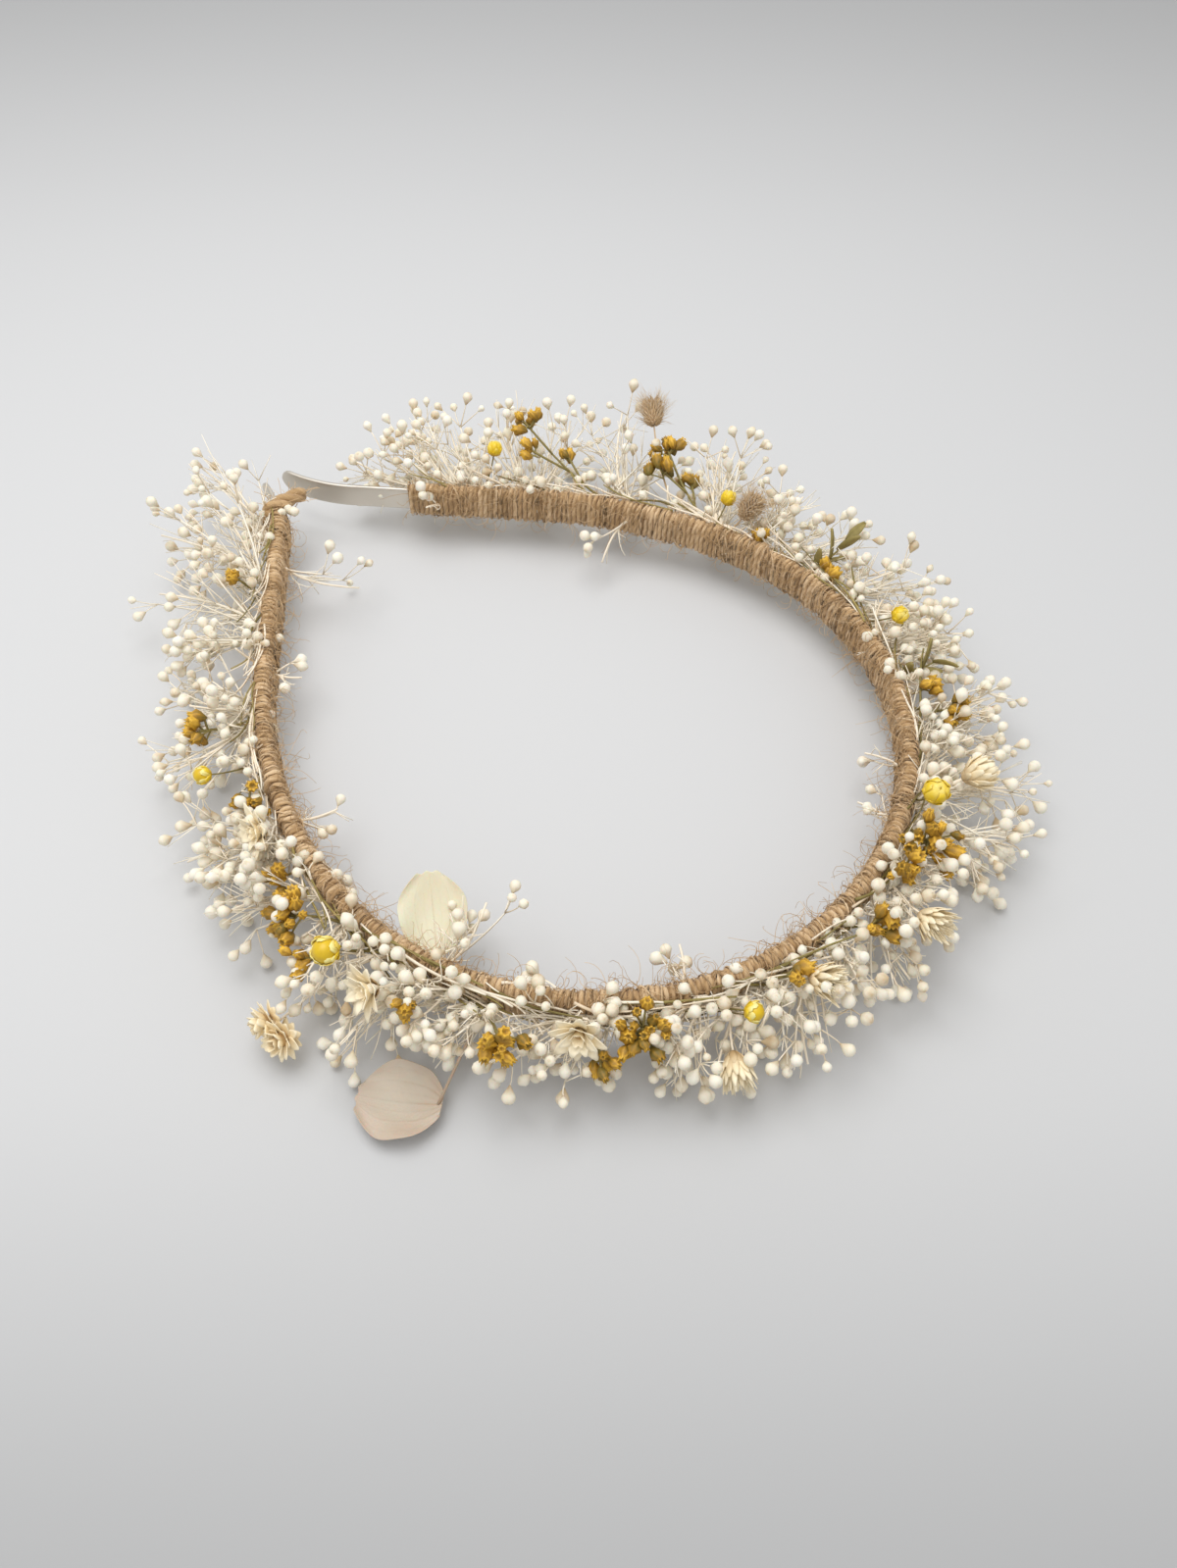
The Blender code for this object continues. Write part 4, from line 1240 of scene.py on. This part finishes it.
def shell_bloom(shape, centre, axis, layers, rng):
    """Layers of hugging bracts: count, radius, stretch, span, width, flare, tones."""
    for level, (count, radius, stretch, span, width, flare, low, high) in enumerate(layers):
        for i in range(count):
            azimuth = (i + 0.5 * (level % 2)) * math.tau / count + rng.normal(0, 0.06)
            reach = (span[0], span[1] + rng.normal(0, 5))
            grid, part = shell_bract(
                centre, axis, azimuth, radius * rng.uniform(0.98, 1.03), stretch, reach, width,
                flare + rng.normal(0, 0.00008),
            )
            tone = np.clip(low + (high - low) * part ** 1.5 + rng.normal(0, 0.04), 0, 1)
            thin_sheet(shape, grid, BRACT_THICKNESS, tone)


def grow_yellow_bud(shape, sprig, band, sizes, rng):
    """A yellow bud: papery bracts that hug a round heart, shut or just opening."""
    foot, growth, forward, reach = band.seat(sprig)
    grow_main_stem(shape, foot, growth, forward, reach - 0.0015, 0.00022, 1, rng, 0.4)
    centre = foot + growth * reach
    shut = "closed" in sprig.style
    r = sizes.yellow_radius * (0.68 if "small" in sprig.style else 0.95)
    top = 172 if shut else 128
    add_ball(shape, centre, growth, 0.90 * r, 1.0, 0.35)
    shell_bloom(shape, centre, growth, [
        (5, 0.94 * r, 1.04, (14, top), 1.25 * r, 0.0, 0.35, 0.75 if shut else 1.0),
        (6, 1.00 * r, 1.04, (10, top - 22), 1.15 * r, 0.00005, 0.30, 0.65 if shut else 1.0),
        (7, 1.05 * r, 1.03, (6, 98), 0.95 * r, 0.00010, 0.20, 0.60),
        (6, 1.09 * r, 1.02, (4, 58), 0.80 * r, 0.00010, 0.05, 0.40),
    ], rng)


def grow_strawflower(shape, sprig, band, sizes, rng):
    """A cream strawflower head: a shut bud, a half-open brush, a daisy or a frilly double."""
    foot, growth, forward, reach = band.seat(sprig)
    grow_main_stem(shape, foot, growth, forward, reach - 0.002, 0.00028, 1, rng, 0.5)
    length = sizes.bract_length
    for number in range(sprig.heads):
        sway = unit(growth + rng.normal(0, 0.35 if sprig.heads > 1 else 0.1, 3))
        if sprig.style == "daisy":
            sway = unit(sway * [1.0, 1.0, 0.35])
        shift = np.cross(unit(growth), [0, 0, 1.0]) * 0.0042 * (number - (sprig.heads - 1) / 2)
        centre = foot + growth * reach + shift - sway * 0.30 * length
        STRAW_SHAPES[sprig.style](shape, centre, sway, length, rng)


def straw_bud(shape, centre, axis, length, rng):
    """A shut head: rows of bracts that hug an egg."""
    r = 0.37 * length
    add_ball(shape, centre, axis, 0.86 * r, 1.2, 0.15)
    shell_bloom(shape, centre, axis, [
        (9, 0.90 * r, 1.75, (14, 146), 0.70 * r, 0.0004, 0.15, 0.85),
        (10, 1.02 * r, 1.60, (12, 132), 0.72 * r, 0.0009, 0.10, 0.90),
        (10, 1.10 * r, 1.40, (10, 108), 0.68 * r, 0.0012, 0.05, 0.85),
        (9, 1.16 * r, 1.25, (8, 80), 0.60 * r, 0.0010, 0.0, 0.65),
    ], rng)


def straw_brush(shape, centre, axis, length, rng):
    """A half-open head: steep narrow bracts round a tuft of filaments."""
    bloom(shape, centre, axis, [
        (9, -0.25 * length, 0.0004, 0.55 * length, 0.26 * length, 50, 24, 0.05, 0.40),
        (11, -0.20 * length, 0.0005, 0.80 * length, 0.24 * length, 48, 14, 0.15, 0.65),
        (12, -0.15 * length, 0.0005, 1.00 * length, 0.22 * length, 38, 10, 0.25, 0.85),
        (10, -0.10 * length, 0.0004, 1.02 * length, 0.18 * length, 24, 4, 0.30, 0.90),
    ], rng, 0.9 * BRACT_THICKNESS)
    add_ball(shape, centre, axis, 0.15 * length, 1.2, 0.15)
    first, second = across(axis)
    for i in range(BRUSH_FILAMENTS):
        sideways = spoke(first, second, i * GOLDEN_TURN)
        way = unit(unit(axis) + sideways * 0.10 * math.sqrt(i) * rng.uniform(0.6, 1.1))
        end = centre + way * length * rng.uniform(0.75, 1.0)
        tube(shape, np.linspace(centre, end, 3), 0.00006, 3, rng.uniform(0.5, 1.0))


def straw_daisy(shape, centre, axis, length, rng):
    """An open head: broad bracts laid wide round a small heart."""
    bloom(shape, centre, axis, [
        (8, -0.08 * length, 0.0006, 0.84 * length, 0.40 * length, 50, 78, 0.62, 1.0),
        (7, -0.02 * length, 0.0005, 0.70 * length, 0.36 * length, 34, 56, 0.66, 1.0),
        (5, 0.0, 0.0004, 0.44 * length, 0.24 * length, 16, 24, 0.30, 0.8),
    ], rng, BRACT_THICKNESS)
    add_ball(shape, centre + unit(axis) * 0.0004, axis, 0.15 * length, 0.9, 0.05)
    bloom(shape, centre, axis, [
        (8, -0.22 * length, 0.0003, 0.30 * length, 0.18 * length, 70, 20, 0.0, 0.2),
    ], rng, 1.2 * BRACT_THICKNESS)


def straw_double(shape, centre, axis, length, rng):
    """A frilly head: short bracts in five rows, the lowest turned back."""
    bloom(shape, centre, axis, [
        (8, -0.22 * length, 0.0004, 0.46 * length, 0.34 * length, 96, 120, 0.20, 0.65),
        (9, -0.16 * length, 0.0005, 0.56 * length, 0.36 * length, 78, 90, 0.25, 0.80),
        (9, -0.10 * length, 0.0005, 0.60 * length, 0.34 * length, 60, 58, 0.30, 0.85),
        (7, -0.04 * length, 0.0004, 0.56 * length, 0.32 * length, 40, 30, 0.30, 0.85),
        (5, 0.02 * length, 0.0003, 0.42 * length, 0.24 * length, 20, 6, 0.10, 0.50),
    ], rng, BRACT_THICKNESS)
    add_ball(shape, centre, axis, 0.22 * length, 1.0, 0.05)


# The strawflower heads by style
STRAW_SHAPES = {"bud": straw_bud, "brush": straw_brush, "daisy": straw_daisy, "double": straw_double}


def hydrangea_petal(shape, sprig, band, sizes, rng):
    """A broad veined petal, cupped and slightly ruffled, on a thin claw."""
    foot, growth, forward, reach = band.seat(sprig)
    claw = foot + growth * reach
    if sprig.style == "outer":
        heading = unit(-forward * math.copysign(1.0, forward[0] + 1e-9) + 0.18 * growth)
        heading = unit(heading * [1, 1, 0] + [0, 0, -0.06])
        face = np.array([0.0, 0.0, 1.0])
    else:
        heading = growth
        face = unit(np.cross(growth, np.cross([0.0, 0.0, 1.0], growth)))
    wide = unit(np.cross(face, heading))
    face = np.cross(heading, wide)
    bow = (foot + claw) / 2 + [0.0, 0.0, 0.0015]
    stalk = curve_points(foot - growth * 0.0008, bow, claw + heading * 0.0006, 8)
    tube(shape, stalk, 0.00024, 5, 0.3)
    rows, columns = 72, 91
    part = np.linspace(0, 1, rows)[:, None]
    side = np.linspace(-1, 1, columns)[None, :]
    width = sizes.petal_width * (1.0 if sprig.style == "outer" else 0.86)
    half = 0.5 * width * np.sin(math.pi * np.clip(part * 0.90 + 0.035, 0, 1)) ** 0.62
    half = half * (1.0 + 0.03 * np.sin(11 * part))
    length = part * sizes.petal_length * (1 - 0.03 * side ** 2 + 0.012 * np.sin(8 * side))
    fan = np.abs(side) * (0.30 + 0.70 * part)
    ribs = sum(
        weight * np.exp(-((fan - start * (0.30 + 0.85 * part)) / 0.016) ** 2)
        for start, weight in ((0.0, 1.0), (0.22, 0.5), (0.46, 0.8), (0.72, 0.5))
    )
    branch = np.abs(np.sin(math.pi * (11.0 * part - 5.2 * np.abs(side) + 0.25 * np.sin(9 * side))))
    vein = np.clip(ribs + 0.38 * np.exp(-(branch / 0.16) ** 2), 0, 1) * (0.45 + 0.55 * (1 - part))
    cup, bowing, ripple_height, vein_height = 0.0013, 0.0010, 0.00030, 0.00006
    ripple = ripple_height * np.sin(9 * part + 5 * side) * side ** 2
    middle = np.sin(math.pi * part)
    rise = cup * side ** 2 * middle - bowing * middle + ripple + vein_height * vein
    grid = claw + heading * length[..., None] + wide * (side * half)[..., None] + face * rise[..., None]
    grid[..., 2] = np.maximum(grid[..., 2], FLOOR_LEVEL + 0.0003)
    mottled = rng.normal(0, 0.03, (rows, columns))
    thin_sheet(shape, grid, PETAL_THICKNESS, np.clip(0.68 - 0.42 * vein + mottled, 0, 1))


def grow_grass(shape, sprig, band, sizes, rng):
    """A soft round grass head: small seeds that fan out, each with fine hairs."""
    foot, growth, forward, reach = band.seat(sprig)
    length, half_width, husk_radius, hair_radius = 0.0048, 0.0016, 0.00032, 0.00006
    husk = np.array([0.2, 1.0, 0.8, 0.15]) * husk_radius
    base = foot + growth * (reach - 0.5 * length)
    grow_main_stem(shape, foot, growth, forward, reach - 0.4 * length, 0.00025, 0, rng, 0.4)
    first, second = across(growth)
    for i in range(GRASS_SEEDS):
        part = (i + 0.5) / GRASS_SEEDS
        sideways = spoke(first, second, i * GOLDEN_TURN)
        belly = math.sin(math.pi * (0.15 + 0.60 * part))
        seed = base + growth * part * length + sideways * half_width * belly
        lean = growth * (0.35 + 0.75 * part) + sideways * rng.uniform(0.5, 1.0)
        way = unit(lean + rng.normal(0, 0.14, 3))
        body = np.linspace(seed - way * 0.0006, seed + way * 0.0011, 4)
        tube(shape, body, husk, 4, rng.uniform(0.0, 0.45))
        for _ in range(2):
            drift = way + rng.normal(0, 0.25, 3)
            hair = curve_points(seed, seed + way * 0.0014, seed + drift * rng.uniform(0.0022, 0.0034), 5)
            tube(shape, hair, np.linspace(0.9, 0.3, 5) * hair_radius, 3, rng.uniform(0.3, 1.0))


def grow_leaves(shape, sprig, band, sizes, rng):
    """Small dry olive leaves up a thin stem."""
    foot, growth, forward, reach = band.seat(sprig)
    path = grow_main_stem(shape, foot, growth, forward, reach, 0.00025, 0, rng, 0.5)
    first, second = across(growth)
    leaf_length, half_width, keel, droop = 0.0058, 0.0009, 0.0004, 0.0006
    part = np.linspace(0, 1, 9)[:, None]
    side = np.linspace(-1, 1, 5)[None, :]
    half = half_width * np.sin(math.pi * np.clip(0.06 + 0.9 * part, 0, 1)) ** 0.7
    fold = keel * np.abs(side) - droop * part ** 2
    tone = np.clip(0.35 + 0.4 * part + 0 * side, 0, 1)
    for i in range(sprig.heads):
        sideways = spoke(first, second, i * GOLDEN_TURN)
        way = unit(growth + sideways * rng.uniform(0.5, 0.9))
        wide = unit(np.cross(way, sideways + growth * 0.3))
        root = along_path(path, 0.35 + 0.6 * i / max(1, sprig.heads - 1))
        face = np.cross(way, wide)
        forwards = (part * leaf_length + 0 * side)[:, :, None]
        grid = root + way * forwards + wide * (half * side)[:, :, None] + face * fold[:, :, None]
        thin_sheet(shape, grid, PETAL_THICKNESS, tone)


# ---------------------------------------------------------------- operators


def settings(context):
    """The sizes of band, twine and flowers, and the colours, as the panel shows them."""
    scene = context.scene
    return scene.band_sizes, scene.twine_sizes, scene.flower_sizes, scene.headband_colours


def place_sprig(piece, sprig, band):
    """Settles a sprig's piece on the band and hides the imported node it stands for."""
    band.settle(piece, [band.distance_of(sprig)])
    if sprig.node:
        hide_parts(sprig.node)


def grow_all(context, sprigs, label, paints, grow):
    """Makes one piece for each sprig in a list with its finishes, settles it on the band and hides the
    imported node it stands for.
    """
    band_sizes, _, sizes, colours = settings(context)
    band = Band(band_sizes)
    palette = finishes(colours)
    for number, sprig in enumerate(sprigs, 1):
        rng = np.random.default_rng([sizes.seed, len(label), number])
        shape = Shape()
        grow(shape, sprig, band, sizes, rng)
        names = [sprig.style] if paints is None else paints
        piece = shape.to_object(f"{label}_{number:02d}", [palette[name] for name in names])
        place_sprig(piece, sprig, band)


# Painted shade on the floor: how bright its colour is at distances away from the viewer, in metres
PAINTED_FLOOR_SHADE = (
    (-0.090, 0.66), (-0.060, 0.83), (-0.025, 0.98), (0.030, 1.0),
    (0.170, 0.97), (0.255, 0.94), (0.390, 0.77),
)
AWAY_FROM_VIEWER = (0.708, 0.706, 0.0)
FLOOR_HALF_SIZE = 3.0
ROOM_COLOUR, ROOM_STRENGTH = (1.0, 0.998, 0.99, 1.0), 0.63
# Each soft light's name, place, width in metres and power in watts
LIGHTS = (("window", (0.00, 0.17, 0.45), 0.34, 1.28), ("room", (-0.16, 0.00, 0.50), 0.40, 0.50))
CAMERA_PLACE, CAMERA_RIGHT, CAMERA_DIP = (-0.0950, -0.0391, 0.1583), (0.7058, -0.7084, 0.0), 52.75
CAMERA_LENS, CAMERA_SENSOR = 27.02, 36.0


def shade_floor(tree, colour):
    """The floor's colour with painted shade: a little darker near and far, where it runs out of the
    light.
    """
    place = tree.nodes.new("ShaderNodeTexCoord")
    reach = tree.nodes.new("ShaderNodeVectorMath")
    reach.operation = "DOT_PRODUCT"
    reach.inputs[1].default_value = AWAY_FROM_VIEWER
    tree.links.new(place.outputs["Object"], reach.inputs[0])
    near, far = PAINTED_FLOOR_SHADE[0][0], PAINTED_FLOOR_SHADE[-1][0]
    part = node(tree, "ShaderNodeMapRange", **{"From Min": near, "From Max": far})
    tree.links.new(reach.outputs["Value"], part.inputs["Value"])
    ramp = tree.nodes.new("ShaderNodeValToRGB")
    ramp.color_ramp.interpolation = "B_SPLINE"
    elements = ramp.color_ramp.elements
    for number, (distance, shade) in enumerate(PAINTED_FLOOR_SHADE):
        spot = (distance - near) / (far - near)
        stop = elements[number] if number < 2 else elements.new(spot)
        stop.position = spot
        stop.color = (*[shade * c for c in colour], 1.0)
    tree.links.new(part.outputs["Result"], ramp.inputs["Fac"])
    tree.links.new(ramp.outputs["Color"], tree.nodes["Principled BSDF"].inputs["Base Color"])


def make_floor(scene):
    """A wide matt table top under the band."""
    mesh = bpy.data.meshes.new("floor")
    size, level = FLOOR_HALF_SIZE, FLOOR_LEVEL
    corners = [(x, y, level) for x, y in ((-size, -size), (size, -size), (size, size), (-size, size))]
    mesh.from_pydata(corners, [], [(0, 1, 2, 3)])
    material = bpy.data.materials.new("floor")
    material.use_nodes = True
    shader = material.node_tree.nodes["Principled BSDF"]
    shade_floor(material.node_tree, scene.headband_colours.floor)
    shader.inputs["Roughness"].default_value = 0.9
    shader.inputs["Specular IOR Level"].default_value = 0.2
    mesh.materials.append(material)
    floor = bpy.data.objects.new("floor", mesh)
    scene.collection.objects.link(floor)


def make_room(scene):
    """Even light from all round."""
    world = bpy.data.worlds.new("soft_room")
    world.use_nodes = True
    background = world.node_tree.nodes["Background"]
    background.inputs["Color"].default_value = ROOM_COLOUR
    background.inputs["Strength"].default_value = ROOM_STRENGTH
    scene.world = world


def make_lights(scene):
    """The window's light and the weaker light of the room, both from above."""
    for name, place, size, power in LIGHTS:
        lamp = bpy.data.lights.new(name, "AREA")
        lamp.size = size
        lamp.energy = power
        light = bpy.data.objects.new(name, lamp)
        light.location = place
        scene.collection.objects.link(light)


def make_camera(scene):
    """A close wide view that looks down at a table, over the band's near side."""
    camera = bpy.data.cameras.new("camera")
    camera.sensor_width = CAMERA_SENSOR
    camera.lens = CAMERA_LENS
    camera.clip_start = 0.005
    camera.clip_end = 20.0
    viewer = bpy.data.objects.new("camera", camera)
    right = Vector(CAMERA_RIGHT).normalized()
    dip = math.radians(CAMERA_DIP)
    ahead = Vector((-right.y, right.x, 0.0)) * math.cos(dip) - Vector((0, 0, math.sin(dip)))
    up = right.cross(ahead)
    turn = Matrix((right, up, -ahead)).transposed()
    crown_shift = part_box("steel_band_crown")[0][1] + scene.band_sizes.strip_thickness / 2
    x, y, z = CAMERA_PLACE
    place = Vector((x, y + crown_shift, z))
    viewer.matrix_world = Matrix.Translation(place) @ turn.to_4x4()
    scene.collection.objects.link(viewer)
    scene.camera = viewer


class HEADBAND_OT_steel(bpy.types.Operator):
    """Make the steel strip in two halves that meet under the twine at the crown"""
    bl_idname = "headband.steel"
    bl_label = "Steel Strip"

    def execute(self, context):
        band_sizes, _, _, colours = settings(context)
        band = Band(band_sizes)
        material = steel_finish(colours)
        for side, arm in ((1, "bare_arm"), (-1, "tied_arm")):
            piece = steel_strip(band, "steel_strip_" + arm, side, material)
            start, end = band.bend_ends(side)
            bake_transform(piece)
            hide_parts("steel_band_" + arm)
            if side == 1:
                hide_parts("steel_band_crown")
        return {"FINISHED"}


class HEADBAND_OT_twine(bpy.types.Operator):
    """Wind the jute twine round the strip, with its loose fibres"""
    bl_idname = "headband.twine"
    bl_label = "Jute Twine"

    def execute(self, context):
        band_sizes, twine, sizes, colours = settings(context)
        band = Band(band_sizes)
        palette = finishes(colours)
        for side, arm in ((1, "bare_arm"), (-1, "tied_arm")):
            rng = np.random.default_rng([sizes.seed, 100 + side])
            start, end = band.bend_ends(side)
            reach = side * (band.wrap_end[side] - (0.0048 if side < 0 else twine.radius))
            winding = Shape()
            wind_twine(winding, band, twine, side * twine.radius, reach, rng)
            shade_core(winding, band, twine, 0.0, reach)
            stray_plies(winding, band, 0.0, reach, rng)
            stems = Shape()
            lay_stems(stems, band, 0.0, reach, rng)
            laid = stems.to_object("laid_stems_" + arm, [palette["twig"], palette["olive"]])
            wound = winding.to_object("jute_twine_" + arm, [palette["jute"]])
            fuzz = Shape()
            loose_fibres(fuzz, band, twine, 0.0, reach, rng)
            fibres = fuzz.to_object("jute_fibres_" + arm, [palette["fuzz"]])
            for piece in (wound, fibres, laid):
                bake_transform(piece)
            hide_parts("jute_wrap_" + arm)
            if side == 1:
                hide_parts("jute_wrap_crown")
        return {"FINISHED"}


class HEADBAND_OT_tail(bpy.types.Operator):
    """Make the doubled end of the twine that is turned in over the strip"""
    bl_idname = "headband.tail"
    bl_label = "Twine Tail"

    def execute(self, context):
        band_sizes, twine, sizes, colours = settings(context)
        shape = Shape()
        twine_tail(shape, Band(band_sizes), twine, np.random.default_rng([sizes.seed, 300]))
        palette = finishes(colours)
        piece = shape.to_object("jute_tail", [palette["jute"], palette["fuzz"]])
        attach(piece, "tied_arm")
        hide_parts("jute_tail_knot")
        return {"FINISHED"}


class HEADBAND_OT_gypsophila(bpy.types.Operator):
    """Grow the gypsophila sprays all along the outer side"""
    bl_idname = "headband.gypsophila"
    bl_label = "Gypsophila"

    def execute(self, context):
        sizes = context.scene.flower_sizes
        buds = bud_templates(np.random.default_rng([sizes.seed, 200]))
        clearance = Clearance(1.6 * sizes.bud_radius)

        def grow(shape, sprig, band, flower_sizes, rng):
            grow_spray(shape, sprig, band, flower_sizes, rng, buds, clearance)

        grow_all(context, GYPSOPHILA, "gypsophila", ("bud", "twig"), grow)
        self.grow_close(context, grow)
        return {"FINISHED"}

    def grow_close(self, context, grow):
        """Short sprays against the band, four to a piece."""
        band_sizes, _, sizes, colours = settings(context)
        band = Band(band_sizes)
        palette = finishes(colours)
        rng = np.random.default_rng([sizes.seed, 400])
        for body, first, last, count in CLOSE_STRETCHES:
            shares = np.linspace(first, last, count) + rng.normal(0, 0.01, count)
            for number in range(0, count, 4):
                shape, places = Shape(), []
                for share in shares[number:number + 4]:
                    sprig = Sprig(
                        "", body, share, rng.normal(0, 38), rng.uniform(8, 68), rng.uniform(4.8, 9.0),
                        int(rng.integers(4, 9)),
                    )
                    grow(shape, sprig, band, sizes, rng)
                    places.append(band.distance_of(sprig))
                if body == "crown" and min(places) < 0 < max(places):
                    places = [0.0]
                name = f"close_gypsophila_{body}_{int(100 * first):02d}_{number // 4 + 1}"
                piece = shape.to_object(name.replace("-", "m"), [palette["bud"], palette["twig"]])
                band.settle(piece, places)


class HEADBAND_OT_mustard(bpy.types.Operator):
    """Grow the mustard sprigs with their toothed floret heads"""
    bl_idname = "headband.mustard"
    bl_label = "Mustard Sprigs"

    def execute(self, context):
        sizes = context.scene.flower_sizes
        rng = np.random.default_rng([sizes.seed, 210])
        templates = [floret_template(rng) for _ in range(FLORET_FORMS)]

        def grow(shape, sprig, band, flower_sizes, own_rng):
            grow_mustard(shape, sprig, band, flower_sizes, own_rng, templates)

        grow_all(context, MUSTARD, "mustard", ("mustard", "olive"), grow)
        return {"FINISHED"}


class HEADBAND_OT_yellow(bpy.types.Operator):
    """Make the yellow papery buds"""
    bl_idname = "headband.yellow"
    bl_label = "Yellow Buds"

    def execute(self, context):
        grow_all(context, YELLOW_BUDS, "yellow", ("yellow", "olive"), grow_yellow_bud)
        return {"FINISHED"}


class HEADBAND_OT_strawflowers(bpy.types.Operator):
    """Make the cream strawflower heads"""
    bl_idname = "headband.strawflowers"
    bl_label = "Strawflowers"

    def execute(self, context):
        grow_all(context, STRAWFLOWERS, "straw", ("cream", "twig"), grow_strawflower)
        return {"FINISHED"}


class HEADBAND_OT_petals(bpy.types.Operator):
    """Make the two hydrangea petals"""
    bl_idname = "headband.petals"
    bl_label = "Hydrangea Petals"

    def execute(self, context):
        grow_all(context, PETALS, "hydrangea", None, hydrangea_petal)
        return {"FINISHED"}


class HEADBAND_OT_grass(bpy.types.Operator):
    """Make the soft grass heads"""
    bl_idname = "headband.grass"
    bl_label = "Grass Heads"

    def execute(self, context):
        grow_all(context, GRASS_HEADS, "grass_head", ("grass",), grow_grass)
        return {"FINISHED"}


class HEADBAND_OT_leaves(bpy.types.Operator):
    """Make the sprig of olive leaves"""
    bl_idname = "headband.leaves"
    bl_label = "Olive Leaves"

    def execute(self, context):
        grow_all(context, LEAF_SPRIGS, "leaf_sprig", ("olive",), grow_leaves)
        return {"FINISHED"}


class HEADBAND_OT_stage(bpy.types.Operator):
    """Make the pale floor, the soft light and the camera"""
    bl_idname = "headband.stage"
    bl_label = "Stage"

    def execute(self, context):
        scene = context.scene
        make_floor(scene)
        make_room(scene)
        make_lights(scene)
        make_camera(scene)
        scene.view_settings.view_transform = "Standard"
        return {"FINISHED"}


class HEADBAND_PT_panel(bpy.types.Panel):
    """Lists the headband's pieces in the order they are made"""
    bl_label = "Headband"
    bl_idname = "HEADBAND_PT_panel"
    bl_space_type = "VIEW_3D"
    bl_region_type = "UI"
    bl_category = "Headband"

    def draw(self, context):
        for operator in OPERATORS:
            self.layout.operator(operator.bl_idname)
        for group in settings(context):
            box = self.layout.box()
            for name in group.bl_rna.properties.keys():
                if name not in ("rna_type", "name"):
                    box.prop(group, name)


OPERATORS = (
    HEADBAND_OT_stage, HEADBAND_OT_steel, HEADBAND_OT_twine, HEADBAND_OT_tail,
    HEADBAND_OT_gypsophila, HEADBAND_OT_mustard, HEADBAND_OT_yellow, HEADBAND_OT_strawflowers,
    HEADBAND_OT_petals, HEADBAND_OT_grass, HEADBAND_OT_leaves,
)
CLASSES = (BandSizes, TwineSizes, FlowerSizes, Colours, *OPERATORS, HEADBAND_PT_panel)


def register():
    for cls in CLASSES:
        bpy.utils.register_class(cls)
    bpy.types.Scene.band_sizes = PointerProperty(type=BandSizes)
    bpy.types.Scene.twine_sizes = PointerProperty(type=TwineSizes)
    bpy.types.Scene.flower_sizes = PointerProperty(type=FlowerSizes)
    bpy.types.Scene.headband_colours = PointerProperty(type=Colours)


def unregister():
    for name in ("band_sizes", "twine_sizes", "flower_sizes", "headband_colours"):
        delattr(bpy.types.Scene, name)
    for cls in reversed(CLASSES):
        bpy.utils.unregister_class(cls)


def main():
    register()
    for operator in OPERATORS:
        area, name = operator.bl_idname.split(".")
        getattr(getattr(bpy.ops, area), name)()


if __name__ == "__main__":
    main()
